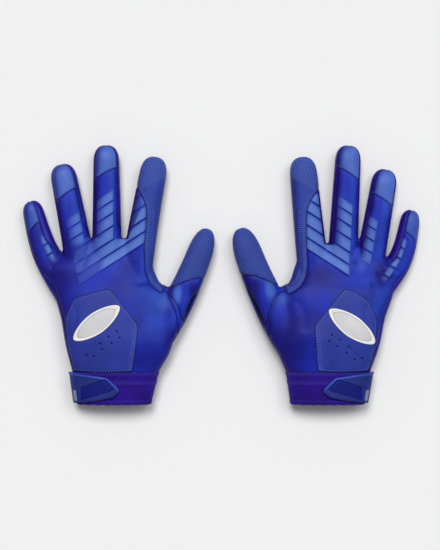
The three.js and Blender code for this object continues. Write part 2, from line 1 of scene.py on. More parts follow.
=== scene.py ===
"""Dresses a pair of batting gloves: sewn leather and satin panels, knit cuffs and moulded tabs.

Each glove is made in its own frame in millimetres: a left hand, thumb towards +X, measured from the
middle of its cuff's hem, with Z up from the table. The right glove is the same work mirrored.
"""

import math

import bpy
import numpy as np
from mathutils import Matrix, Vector
from mathutils.bvhtree import BVHTree
from mathutils.kdtree import KDTree


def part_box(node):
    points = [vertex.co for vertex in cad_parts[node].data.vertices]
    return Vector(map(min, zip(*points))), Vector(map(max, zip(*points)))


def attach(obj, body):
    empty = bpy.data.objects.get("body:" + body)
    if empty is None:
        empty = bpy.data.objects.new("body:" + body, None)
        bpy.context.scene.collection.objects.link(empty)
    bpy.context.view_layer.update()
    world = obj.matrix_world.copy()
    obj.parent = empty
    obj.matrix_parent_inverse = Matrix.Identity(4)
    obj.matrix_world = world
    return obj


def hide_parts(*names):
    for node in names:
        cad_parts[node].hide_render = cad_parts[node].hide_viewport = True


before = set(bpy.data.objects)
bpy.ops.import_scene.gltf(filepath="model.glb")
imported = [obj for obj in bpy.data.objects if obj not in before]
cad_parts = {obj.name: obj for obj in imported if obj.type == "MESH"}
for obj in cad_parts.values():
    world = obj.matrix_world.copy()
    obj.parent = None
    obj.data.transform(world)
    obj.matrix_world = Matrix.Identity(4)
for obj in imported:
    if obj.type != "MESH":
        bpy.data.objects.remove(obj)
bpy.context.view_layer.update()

# Sizes, in millimetres
GLOVE_LENGTH = 220
PALM_BREADTH = 88
HAND_HEIGHT = 30
PANEL_WALL = 1.0
CUFF_LENGTH = 27
CUFF_LIFT = 2.6
CUFF_HEIGHT = 22.5
HEM_BREADTH = 63
HEM_MIDDLE = 1
SLIT_X, SLIT_WIDTH, SLIT_INTO_PALM = -18, 2.6, 20
STRAP_CLEAR, STRAP_RISE, STRAP_THICKNESS, STRAP_REACH = 1.3, 0.6, 1.5, 41
HINGE_FROM_EDGE, HINGE_GAP = 6.2, 0.3
# The hand is remeshed in one skin with cells of this size.
VOXEL = 0.85
FINGER_WIDTH = {"thumb": 23.5, "index": 24.2, "middle": 23, "ring": 22.8, "little": 17.8}
# Heights, as shares of HAND_HEIGHT
FINGER_HEIGHT = {"thumb": 0.642, "index": 0.581, "middle": 0.583, "ring": 0.578, "little": 0.498}
FREE_LENGTH = {"index": 74, "middle": 78, "ring": 66, "little": 50}
# Where the fingers' middle lines run: shares of PALM_BREADTH across and of GLOVE_LENGTH along
STALL_SHARES = {
    "left": {
        "thumb": [(0.25, 0.175), (0.463, 0.28), (0.645, 0.404), (0.79, 0.532), (0.925, 0.68)],
        "index": [(0.21, 0.47), (0.285, 0.668), (0.416, 0.96)],
        "middle": [(-0.07, 0.48), (-0.061, 0.668), (-0.068, 1.006)],
        "ring": [(-0.29, 0.47), (-0.374, 0.668), (-0.505, 0.932)],
        "little": [(-0.36, 0.4), (-0.658, 0.59), (-0.808, 0.789)],
    },
    "right": {
        "thumb": [(0.22, 0.175), (0.42, 0.28), (0.588, 0.405), (0.72, 0.522), (0.862, 0.682)],
        "index": [(0.136, 0.47), (0.186, 0.668), (0.257, 0.96)],
        "middle": [(-0.125, 0.48), (-0.15, 0.668), (-0.198, 1.005)],
        "ring": [(-0.365, 0.47), (-0.455, 0.668), (-0.562, 0.912)],
        "little": [(-0.4, 0.4), (-0.7, 0.565), (-0.816, 0.754)],
    },
}
# A stall's width at its root and at its tip, as shares of its finger's width
TAPER = {
    "left": {
        "thumb": (1.3, 0.84), "index": (1.12, 0.91), "middle": (1.15, 0.93), "ring": (1.15, 0.95),
        "little": (1.7, 0.93),
    },
    "right": {
        "thumb": (1.42, 0.92), "index": (1.12, 0.93), "middle": (1.13, 0.93), "ring": (1.1, 0.93),
        "little": (1.45, 0.88),
    },
}
# Length of the rounded tip, as a share of the finger's width
TIP_ROUNDING = {"finger": 0.64, "thumb": 1.05}
# How much taller a stall is at its root, and how far it is lifted there as a share of HAND_HEIGHT
ROOT_RISE = {"finger": (1.08, 0.1), "thumb": (1.1, 0.13)}
# A tip's cross-sections, as shares of its rounding
TIP_STATIONS = [0.85, 0.7, 0.55, 0.4, 0.27, 0.16, 0.08, 0.03, 0.006]
# An outline's fullness: 2 is an ellipse, more is blunter and less is more pointed
TIP_FULLNESS, SECTION_FULLNESS, BADGE_FULLNESS = 2.5, 2.35, 1.7
REST_CLEARANCE = 0.4
# The palm's outline: place along the glove, little-finger edge, thumb edge, share of HAND_HEIGHT
PALM_SHARES = {
    "left": [
        (0.124, -0.39, 0.445, 0.75), (0.22, -0.452, 0.57, 1), (0.341, -0.507, 0.545, 0.98),
        (0.42, -0.566, 0.542, 0.92), (0.456, -0.6, 0.53, 0.87), (0.47, -0.612, 0.456, 0.85),
        (0.49, -0.632, 0.43, 0.83), (0.53, -0.668, 0.388, 0.79), (0.577, -0.53, 0.384, 0.69),
        (0.612, -0.405, 0.362, 0.62), (0.641, -0.273, 0.235, 0.54),
    ],
    "right": [
        (0.124, -0.4, 0.415, 0.75), (0.22, -0.485, 0.507, 1), (0.341, -0.552, 0.48, 0.98),
        (0.42, -0.622, 0.48, 0.92), (0.454, -0.645, 0.47, 0.87), (0.468, -0.656, 0.395, 0.86),
        (0.489, -0.671, 0.364, 0.83), (0.53, -0.702, 0.332, 0.79), (0.568, -0.56, 0.292, 0.69),
        (0.598, -0.455, 0.278, 0.62), (0.621, -0.345, 0.14, 0.54),
    ],
}
# The wrist starts inside the cuff. Its middle stays level up to the heel, and the palm sinks a little.
WRIST_START, HEEL, WRIST_MIDDLE_HEIGHT, PALM_SINK = 0.075, 0.22, 13.85, 1.2
# Between the index finger and the thumb
WEB = {"left": (0.478, 0.455), "right": (0.41, 0.452)}
# The oval where the thumb's root is smoothed: its place from the web, its radii and its lowest height
ROOT_FROM_WEB, ROOT_RADII, ROOT_UNDER = (3, 20), (15, 26), 12
# Below this height the underside flattens towards the table.
FLATTENED = 1.2
# Heights of the seams round the hand's edge: place along the glove, share of HAND_HEIGHT
PALM_SEAM = [(-1, 0.42), (0.35, 0.42), (0.55, 0.27), (0.66, 0.19), (2, 0.19)]
BACK_SEAM = [(-1, 0.66), (0.35, 0.66), (0.55, 0.5), (0.66, 0.41), (2, 0.41)]
# The palm's seam comes up into view along the thumb's outer edge: how far, and where from the web
OUTER_RISE, OUTER_EDGE, OUTER_MIDDLE, OUTER_REACH = 3.2, (8, 14), 17, (22, 10)
# How high up each finger's sides its gussets reach: little-finger side, thumb side
GUSSET_REACH = {
    "left": {"index": (0.5, 0.4), "middle": (0.6, 0.6), "ring": (0.5, 0.66), "little": (0.35, 0.93)},
    "right": {"index": (0.5, 0.4), "middle": (0.5, 0.7), "ring": (0.5, 0.7), "little": (0.35, 0.93)},
}
# How much further the finger gussets run down into the palm
GUSSET_FOOT = {"left": 0, "right": 8}
# Fingertip caps: how far back from the tip their seam lies on the little-finger side and on the thumb
# side, and how far those two sides are from the finger's middle
CAP_LENGTH = {
    "little": (27.4, 20.1, 10.1, 2.4), "ring": (30.9, 22.4, 10.7, 9.9), "middle": (28.5, 19.5, 8.6, 10.2),
}
CAP_BOW = 3.08
# The index finger's seam from beside its tip to the web: distances back from the tip and across
INDEX_CORNERS = [(28, -18), (30.4, -10.3), (39.5, -2.6), (46, 0.5), (60, 2.5), (78, 4)]
# The edge gusset ends beside the index finger's tip, at places measured in the same way.
GUSSET_CORNERS = [(60, 0), (28, 0), (28, -14)]
# Seams near the web, in shares of the palm's breadth from the web
INDEX_SEAM = {
    "left": [
        (-0.155, 0.14), (-0.117, 0.045), (-0.05, -0.026), (-0.012, -0.056), (0.012, -0.036), (0.05, 0.03),
    ],
    "right": [
        (-0.2, 0.22), (-0.185, 0.11), (-0.134, 0.02), (-0.073, -0.034), (-0.02, -0.062), (0.005, -0.045),
        (0.04, 0),
    ],
}
THUMB_LEATHER = {
    "left": [
        (-0.03, 0.0), (0.007, -0.006), (0.06, -0.008), (0.1, 0), (0.165, 0.03), (0.222, 0.053),
        (0.311, 0.075), (0.416, 0.086),
    ],
    "right": [
        (-0.05, 0), (0, 0.003), (0.05, 0.01), (0.103, 0.03), (0.2, 0.076), (0.29, 0.108), (0.412, 0.118),
    ],
}
THUMB_SEAM = {
    "left": [
        (0.1, 0.6), (0, 0.06), (-0.003, 0.01), (0.02, -0.022), (0.05, -0.055), (0.0925, -0.104),
        (0.132, -0.152), (0.163, -0.205), (0.177, -0.265), (0.235, -0.41),
    ],
    "right": [
        (0.1, 0.6), (-0.012, 0.06), (-0.018, 0.015), (0.028, -0.019), (0.086, -0.06), (0.139, -0.139),
        (0.168, -0.218), (0.188, -0.315), (0.2, -0.37), (0.25, -0.45),
    ],
}
THUMB_PALM = [(0, 0.1), (-0.03, -0.04), (0.01, -0.25), (0.07, -0.45), (0.3, -0.62)]
BASE_SEAM = {
    "left": [
        (0.07, -0.12), (0.0925, -0.17), (0.124, -0.243), (0.145, -0.309), (0.15, -0.373), (0.147, -0.42),
    ],
    "right": [(0.115, -0.16), (0.142, -0.22), (0.16, -0.29), (0.166, -0.377), (0.165, -0.43)],
}
# The patch on the back of the hand, and its vents
PATCH = {
    "left": [
        (-0.15, 0.438), (-0.02, 0.448), (0.255, 0.31), (0.25, 0.27), (0.198, 0.13),
        (-0.38, 0.13), (-0.425, 0.215), (-0.455, 0.33), (-0.37, 0.41),
    ],
    "right": [
        (-0.25, 0.438), (-0.14, 0.448), (0.15, 0.305), (0.145, 0.27), (0.115, 0.13),
        (-0.375, 0.13), (-0.44, 0.215), (-0.46, 0.33), (-0.38, 0.4),
    ],
}
VENTS = [
    (0.05, 0.284), (-0.03, 0.264), (-0.108, 0.238), (-0.24, 0.194),
    (0.078, 0.26), (0, 0.24), (-0.09, 0.215), (-0.17, 0.19),
]
VENT_RADIUS = 0.8
# How far the badge and the vents lie from the left glove's places, in shares
BADGE_SHIFT = {"left": (0, 0), "right": (-0.068, -0.013)}
BADGE = (-0.145, 0.316)
BADGE_TURN = math.radians(36)
# The badge's rings from its foot inwards: half length, half breadth, height
BADGE_RINGS = [
    (24, 9, 0), (24, 9, 1.25), (23.7, 8.75, 1.5), (23.2, 8.35, 1.6), (22.3, 7.7, 1.6), (21.9, 7.4, 1.48),
    (21.6, 7.15, 1.05), (18, 5.9, 1.1), (13, 4.2, 1.18), (7, 2.2, 1.24), (2, 0.6, 1.26),
]
# The strap over the cuff, its end under the cuff and its recess: shares of STRAP_REACH from the cuff's
# edge and of CUFF_LENGTH
TAB = [
    (-0.1, 1.04), (0.4, 0.935), (0.745, 0.86), (0.955, 0.55), (0.985, 0.46), (0.95, 0.36), (0.87, 0.25),
    (0.5, 0.13), (-0.1, 0.045),
]
ANCHOR_UNDER = [(0.02, 0.97), (0.25, 0.85), (0.61, 0.8), (0.61, 0.2), (0.25, 0.14), (0.02, 0.04)]
RECESS = [(0.2, 0.56), (0.71, 0.82), (0.87, 0.52), (0.84, 0.42), (0.2, 0.13)]
FINGERS = ["index", "middle", "ring", "little"]
CAPPED = ["middle", "ring", "little"]
# The gussets on a finger's two sides: little-finger side, thumb side
GUSSETS = {
    "little": ("edge_gusset", "little_ring_gusset"), "ring": ("little_ring_gusset", "ring_middle_gusset"),
    "middle": ("ring_middle_gusset", "middle_index_gusset"),
    "index": ("middle_index_gusset", "middle_index_gusset"),
}
PANELS = [
    "palm_panel", "back_panel", "edge_gusset", "little_ring_gusset", "ring_middle_gusset",
    "middle_index_gusset", "little_fingertip_cap", "ring_fingertip_cap", "middle_fingertip_cap",
    "index_finger_wrap", "thumb_wrap", "thumb_back_panel", "thumb_palm_panel",
]


# Curves and places
def curve_through(knots, values, at):
    """Smooth values between the rows of a table."""
    knots, values, at = (np.asarray(v, float) for v in (knots, values, at))
    gap = np.diff(knots)
    rise = np.diff(values, axis=0) / gap[:, None]
    slope = np.concatenate([rise[:1], rise, rise[-1:]])
    slope = (slope[:-1] + slope[1:]) / 2
    slope[1:-1] = (rise[:-1] * gap[1:, None] + rise[1:] * gap[:-1, None]) / (gap[:-1] + gap[1:])[:, None]
    i = np.clip(np.searchsorted(knots, at, side="right") - 1, 0, len(gap) - 1)
    t = np.clip((at - knots[i]) / gap[i], 0, 1)[:, None]
    step = gap[i][:, None]
    return (
        (2 * t**3 - 3 * t**2 + 1) * values[i]
        + (t**3 - 2 * t**2 + t) * step * slope[i]
        + (3 * t**2 - 2 * t**3) * values[i + 1]
        + (t**3 - t**2) * step * slope[i + 1]
    )


def smooth_step(low, high, value):
    t = np.clip((value - low) / (high - low), 0, 1)
    return t * t * (3 - 2 * t)


def beside_line(places, line):
    """Signed distance from an open line in plan (positive on its right), and how far along it."""
    line = np.asarray(line, float)
    start, step = line[:-1], np.diff(line, axis=0)
    length = np.hypot(*step.T)
    rel = places[:, None, :] - start[None]
    t = (rel * step).sum(2) / length**2
    low = np.zeros(len(step))
    high = np.ones(len(step))
    low[0], high[-1] = -np.inf, np.inf
    t = np.clip(t, low, high)
    away = rel - t[..., None] * step
    distance = np.hypot(away[..., 0], away[..., 1])
    near = distance.argmin(1)
    rows = np.arange(len(places))
    cross = rel[rows, near, 0] * step[near, 1] - rel[rows, near, 1] * step[near, 0]
    along = np.r_[0, np.cumsum(length)][near] + t[rows, near] * length[near]
    return np.sign(cross) * distance[rows, near], along


def inside_outline(places, outline):
    """Distance inside a closed outline, negative outside it."""
    outline = np.asarray(outline, float)
    closed = np.vstack([outline, outline[:1]])
    start, step = closed[:-1], np.diff(closed, axis=0)
    rel = places[:, None, :] - start[None]
    t = np.clip((rel * step).sum(2) / (step**2).sum(1), 0, 1)
    away = rel - t[..., None] * step
    distance = np.hypot(away[..., 0], away[..., 1]).min(1)
    x, y = places.T
    inside = np.zeros(len(places), bool)
    for (ax, ay), (bx, by) in zip(closed[:-1], closed[1:]):
        if ay != by:
            inside ^= ((ay > y) != (by > y)) & (x < (bx - ax) * (y - ay) / (by - ay) + ax)
    return np.where(inside, distance, -distance)


def rounded(outline, radius, steps=5):
    """An outline with its corners rounded off."""
    outline = np.asarray(outline, float)
    made = []
    for before, corner, after in zip(np.roll(outline, 1, 0), outline, np.roll(outline, -1, 0)):
        back, ahead = before - corner, after - corner
        back_length, ahead_length = np.hypot(*back), np.hypot(*ahead)
        reach = min(radius, back_length * 0.45, ahead_length * 0.45)
        start, end = corner + back / back_length * reach, corner + ahead / ahead_length * reach
        for t in np.linspace(0, 1, steps):
            made.append((1 - t) ** 2 * start + 2 * t * (1 - t) * corner + t * t * end)
    return np.array(made)


def reach_of(line):
    """How far along a line in plan each of its points lies."""
    return np.r_[0, np.cumsum(np.hypot(*np.diff(line, axis=0).T))]


def right_of(way):
    return np.stack([way[:, 1], -way[:, 0]], 1)


def line_at(line, reach, at, step):
    """Places along a line, and the way it runs at each."""
    def spots(shift):
        return np.stack([np.interp(at + shift, reach, line[:, k]) for k in (0, 1)], 1)

    way = spots(step) - spots(-step)
    return spots(0), way / np.hypot(*way.T)[:, None]


def walk(line, pitch, offset=0.0):
    """Even steps along a line in plan, moved to its right, and the way it runs at each."""
    line = np.asarray(line, float)
    length = reach_of(line)
    smooth = curve_through(length, line, np.linspace(0, length[-1], 12 * len(line)))
    reach = reach_of(smooth)
    spots, way = line_at(smooth, reach, np.arange(pitch / 2, reach[-1], pitch), 0.5)
    return spots + offset * right_of(way), way


def place(shares):
    return np.asarray(shares, float) * (PALM_BREADTH, GLOVE_LENGTH)


def round_power(value, fullness=SECTION_FULLNESS):
    return np.sign(value) * np.abs(value) ** (2 / fullness)


class Stall:
    """One finger's middle line and section."""

    def __init__(self, side, finger):
        kind = "thumb" if finger == "thumb" else "finger"
        knots = place(STALL_SHARES[side][finger])
        chord = np.r_[0, np.cumsum(np.sqrt(np.hypot(*np.diff(knots, axis=0).T)))]
        self.line = curve_through(chord, knots, np.linspace(0, chord[-1], 40))
        self.reach = reach_of(self.line)
        self.length = self.reach[-1]
        self.width = FINGER_WIDTH[finger]
        self.rounding = self.width * TIP_ROUNDING[kind]
        self.taper = TAPER[side][finger]
        self.rise = ROOT_RISE[kind]
        self.half_height = HAND_HEIGHT * FINGER_HEIGHT[finger] / 2

    def station(self, share):
        """Middle, half width and half height of the section at a share of the length."""
        tall, lift = self.rise
        root, tip = self.taper
        left = (1 - share) * self.length / self.rounding
        full = (1 - (1 - np.clip(left, 0, 1)) ** TIP_FULLNESS) ** (1 / TIP_FULLNESS)
        half_width = self.width / 2 * (root + (tip - root) * share) * full
        half_height = self.half_height * (tall + (1 - tall) * share) * full
        middle = REST_CLEARANCE + self.half_height + lift * HAND_HEIGHT * (1 - share)
        return middle, half_width, half_height

    def locate(self, places):
        """Distance back from the tip, distance to the thumb side, and section there."""
        across, along = beside_line(places, self.line)
        share = np.clip(along / self.length, 0, 1)
        return self.length - along, across, self.station(share)

    def beside(self, from_tip, across):
        at = np.array([self.length - from_tip])
        spots, way = line_at(self.line, self.reach, at, 1)
        return (spots + across * right_of(way))[0]

    def rings(self):
        """Cross-sections from the root to the tip."""
        end = self.rounding / self.length
        made = []
        for share in np.r_[np.linspace(0, 1 - end, 30), 1 - end * np.array(TIP_STATIONS)]:
            height, half_width, half_height = self.station(share)
            from_tip = self.length - self.length * share
            x, y = self.beside(from_tip, 0)
            across = self.beside(from_tip, 1) - (x, y)
            made.append(oval((x, y, height), across, half_width, half_height, 48))
        return made


def oval(middle, across, half_width, half_height, sides):
    """One full-sided oval cross-section, as points in space."""
    angle = 2 * np.pi * np.arange(sides) / sides
    wide, tall = round_power(np.cos(angle)) * half_width, round_power(np.sin(angle)) * half_height
    return np.stack([middle[0] + across[0] * wide, middle[1] + across[1] * wide, middle[2] + tall], 1)


def tube(rings):
    """A closed skin over rings that all have the same number of points."""
    sides = len(rings[0])
    faces = []
    for r in range(len(rings) - 1):
        for i in range(sides):
            a, b = r * sides + i, r * sides + (i + 1) % sides
            faces.append((a, b, b + sides, a + sides))
    faces.append(tuple(range(sides - 1, -1, -1)))
    faces.append(tuple((len(rings) - 1) * sides + i for i in range(sides)))
    return np.concatenate(rings), faces


# Mesh work
def pick_nothing():
    bpy.ops.object.select_all(action="DESELECT")


def pick(piece):
    pick_nothing()
    piece.select_set(True)
    bpy.context.view_layer.objects.active = piece


def edit_all(piece):
    """Opens a piece for editing with all of it selected."""
    pick(piece)
    bpy.ops.object.mode_set(mode="EDIT")
    bpy.ops.mesh.select_all(action="SELECT")


def close_edit():
    bpy.ops.object.mode_set(mode="OBJECT")


def face_outwards(piece):
    edit_all(piece)
    bpy.ops.mesh.normals_make_consistent(inside=False)
    close_edit()


def add_piece(name, mesh):
    piece = bpy.data.objects.new(name, mesh)
    bpy.context.scene.collection.objects.link(piece)
    return piece


def new_piece(name, points, faces):
    """A piece from faces with any number of corners."""
    mesh = bpy.data.meshes.new(name)
    mesh.from_pydata([tuple(p) for p in points], [], [tuple(int(i) for i in f) for f in faces])
    mesh.update()
    return add_piece(name, mesh)


def quick_piece(name, points, triangles):
    """A piece from arrays of points and triangles, without going through lists."""
    mesh = bpy.data.meshes.new(name)
    mesh.vertices.add(len(points))
    mesh.vertices.foreach_set("co", np.asarray(points, np.float32).ravel())
    mesh.loops.add(3 * len(triangles))
    mesh.loops.foreach_set("vertex_index", np.asarray(triangles, np.int32).ravel())
    mesh.polygons.add(len(triangles))
    mesh.polygons.foreach_set("loop_start", np.arange(0, 3 * len(triangles), 3, dtype=np.int32))
    mesh.update(calc_edges=True)
    return add_piece(name, mesh)


def apply_modifier(piece, kind, **settings):
    pick(piece)
    modifier = piece.modifiers.new(kind.title(), kind)
    for key, value in settings.items():
        setattr(modifier, key, value)
    bpy.ops.object.modifier_apply(modifier=modifier.name)


def thicken(piece, thickness):
    """Gives a sheet its thickness, inwards."""
    apply_modifier(piece, "SOLIDIFY", thickness=thickness, offset=-1)


def read_points(piece):
    points = np.empty(3 * len(piece.data.vertices), np.float32)
    piece.data.vertices.foreach_get("co", points)
    return points.reshape(-1, 3).astype(float)


def write_points(piece, points):
    piece.data.vertices.foreach_set("co", np.asarray(points, np.float32).ravel())
    piece.data.update()


def read_triangles(piece):
    mesh = piece.data
    mesh.calc_loop_triangles()
    triangles = np.empty(3 * len(mesh.loop_triangles), np.int32)
    mesh.loop_triangles.foreach_get("vertices", triangles)
    return read_points(piece), triangles.reshape(-1, 3).astype(np.int64)


def sides_of(triangles, count):
    """The two ends of each side of every triangle, and one number for each pair of ends."""
    pairs = np.concatenate([triangles[:, [0, 1]], triangles[:, [1, 2]], triangles[:, [2, 0]]])
    pairs.sort(axis=1)
    return pairs, pairs[:, 0] * count + pairs[:, 1]


def edges_of(triangles, count):
    codes = np.unique(sides_of(triangles, count)[1])
    return np.stack([codes // count, codes % count], 1)


def relax(points, edges, times, strength=0.5, held=None):
    """Draws every point towards the middle of its neighbours."""
    count = np.bincount(edges.ravel(), minlength=len(points))[:, None]
    for _ in range(times):
        total = np.stack(
            [
                np.bincount(edges[:, 0], points[edges[:, 1], k], len(points))
                + np.bincount(edges[:, 1], points[edges[:, 0], k], len(points))
                for k in range(points.shape[1])
            ],
            1,
        )
        moved = points + strength * (total / count - points)
        points = moved if held is None else np.where(held[:, None], points, moved)
    return points


def vertex_normals(points, triangles):
    a, b, c = (points[triangles[:, k]] for k in range(3))
    normal = np.cross(b - a, c - a)
    total = [
        sum(np.bincount(triangles[:, k], normal[:, j], len(points)) for k in range(3)) for j in range(3)
    ]
    total = np.stack(total, 1)
    return total / np.maximum(np.linalg.norm(total, axis=1, keepdims=True), 1e-12)


# A point this near a cut, as a share of its edge, is moved onto it.
SNAP_SHARE = 0.22


def cut_along(points, triangles, level, near=None):
    """Splits triangles along the line where a level passes through zero."""
    value = level(points)
    active = np.ones(len(points), bool) if near is None else near(points)
    count = len(points)
    a, b = edges_of(triangles, count).T
    live = active[a] & active[b]
    a, b = a[live], b[live]
    for first, second in ((a, b), (b, a)):
        cross = value[first] * value[second] < 0
        i, j = first[cross], second[cross]
        share = value[i] / (value[i] - value[j])
        close = share < SNAP_SHARE
        i, j, share = i[close], j[close], share[close]
        points[i] += (points[j] - points[i]) * share[:, None]
        value[i] = 0
    cross = value[a] * value[b] < 0
    a, b = a[cross], b[cross]
    codes = a * count + b
    order = np.argsort(codes)
    a, b, codes = a[order], b[order], codes[order]
    share = (value[a] / (value[a] - value[b]))[:, None]
    points = np.concatenate([points, points[a] + (points[b] - points[a]) * share])
    ends = np.stack([triangles, np.roll(triangles, -1, 1)], 2)
    ends.sort(axis=2)
    edge_code = ends[..., 0] * count + ends[..., 1]
    found = np.searchsorted(codes, edge_code)
    found = np.minimum(found, max(len(codes) - 1, 0))
    is_cut = codes[found] == edge_code if len(codes) else np.zeros(edge_code.shape, bool)
    number = is_cut.sum(1)
    made = [triangles[number == 0]]
    for k in range(3):
        one = (number == 1) & is_cut[:, k]
        tri, new = np.roll(triangles[one], -k, 1), count + found[one, k]
        made.append(np.stack([tri[:, 0], new, tri[:, 2]], 1))
        made.append(np.stack([new, tri[:, 1], tri[:, 2]], 1))
        two = (number == 2) & ~is_cut[:, (k + 1) % 3]
        tri = np.roll(triangles[two], -k, 1)
        ab, ca = count + found[two, k], count + found[two, (k + 2) % 3]
        made.append(np.stack([tri[:, 0], ab, ca], 1))
        made.append(np.stack([ab, tri[:, 1], tri[:, 2]], 1))
        made.append(np.stack([ab, tri[:, 2], ca], 1))
    return points, np.concatenate(made)


def pull_out(triangles, chosen):
    """The chosen triangles renumbered, with the old number of each point that they use."""
    used = triangles[chosen]
    old, new = np.unique(used, return_inverse=True)
    return old, new.reshape(-1, 3)


def nearest_distance(points, targets, limit=8.0):
    tree = KDTree(len(targets))
    for i, target in enumerate(targets):
        tree.insert(target, i)
    tree.balance()
    return np.minimum(np.array([tree.find(p)[2] for p in points]), limit)


def set_number(piece, name, values):
    attribute = piece.data.attributes.new(name, "FLOAT", "POINT")
    attribute.data.foreach_set("value", np.asarray(values, np.float32))


def set_flat_map(piece, name, flat):
    """A UV map from one flat place for each point."""
    layer = piece.data.uv_layers.new(name=name)
    corner = np.empty(len(piece.data.loops), np.int32)
    piece.data.loops.foreach_get("vertex_index", corner)
    layer.data.foreach_set("uv", np.asarray(flat, np.float32)[corner].ravel())


def smooth_shading(piece, degrees=50):
    pick(piece)
    bpy.ops.object.shade_smooth_by_angle(angle=math.radians(degrees))


# The hand form and its panels
FORM_RELAXED, ROOT_RELAXED = 14, 60
# The panels start this far from the cuff.
CUFF_GAP = 0.2
# A gusset comes up between these places, from where its finger gets free.
GUSSET_RISES = (2, -14)
# The band along the hand's edge is all edge gusset below this place.
EDGE_END = 100
# Reaches of the boxes that seams are cut in. The back's seams leave the underside alone.
FAR = 1000
EVERYWHERE, BACK_ONLY = (-FAR, FAR), (3, FAR)


def wrist(side):
    ulnar, radial = PALM_SHARES[side][0][1:3]
    return (ulnar + radial) / 2 * PALM_BREADTH, (radial - ulnar) * PALM_BREADTH


def palm_rings(side):
    """Cross-sections of the palm from the wrist to the knuckles."""
    rows = np.array(PALM_SHARES[side])
    along = np.linspace(rows[0, 0], rows[-1, 0], 60)
    table = curve_through(rows[:, 0], rows[:, 1:], along)
    rings = []
    for y, (ulnar, radial, height) in zip(np.r_[WRIST_START, along], np.vstack([table[:1], table])):
        half = height * HAND_HEIGHT / 2
        level = WRIST_MIDDLE_HEIGHT if y < HEEL else half - PALM_SINK
        middle = ((ulnar + radial) / 2 * PALM_BREADTH, y * GLOVE_LENGTH, level)
        rings.append(oval(middle, (1, 0), (radial - ulnar) / 2 * PALM_BREADTH, half, 80))
    return rings


def hand_form(side):
    """The filled hand in one skin, relaxed where the fingers meet."""
    all_points, all_faces, total = [], [], 0
    for rings in [palm_rings(side)] + [Stall(side, finger).rings() for finger in [*FINGERS, "thumb"]]:
        points, faces = tube([ring[::-1] for ring in rings])
        all_points.append(points)
        all_faces += [tuple(i + total for i in face) for face in faces]
        total += len(points)
    form = new_piece("hand form", np.concatenate(all_points), all_faces)
    face_outwards(form)
    apply_modifier(form, "REMESH", mode="VOXEL", voxel_size=VOXEL)
    points, triangles = read_triangles(form)
    bpy.data.objects.remove(form)
    edges = edges_of(triangles, len(points))
    points = relax(points, edges, FORM_RELAXED)
    # The thumb's root runs out smoothly into the back of the hand.
    from_root = (points[:, :2] - (place(WEB[side]) - ROOT_FROM_WEB)) / ROOT_RADII
    root = ((from_root**2).sum(1) < 1) & (points[:, 2] > ROOT_UNDER)
    points = relax(points, edges, ROOT_RELAXED, held=~root)
    low = points[:, 2] < FLATTENED
    points[low, 2] = FLATTENED * np.exp((points[low, 2] - FLATTENED) / FLATTENED)
    return points, triangles


def seam_height(table, p):
    """How high a seam runs round the hand's edge beside each point."""
    along, shares = np.transpose(table)
    return np.interp(p[:, 1] / GLOVE_LENGTH, along, shares) * HAND_HEIGHT


def cap_edge(finger, share):
    """How far back a cap's seam lies, from its little-finger side to its thumb side."""
    ulnar_back, thumb_back = CAP_LENGTH[finger][:2]
    return ulnar_back + (thumb_back - ulnar_back) * share - CAP_BOW * share * (1 - share)


def left_of(line):
    """A level that is positive on the left of a line in plan."""
    return lambda p: -beside_line(p[:, :2], line)[0]


def within(x, y, z, origin=(0, 0)):
    """Picks the points in a box, whose reach across and along is measured from an origin."""
    low, high = np.transpose([x, y, z]) + [(*origin, 0)]
    return lambda p: ((p > low) & (p < high)).all(1)


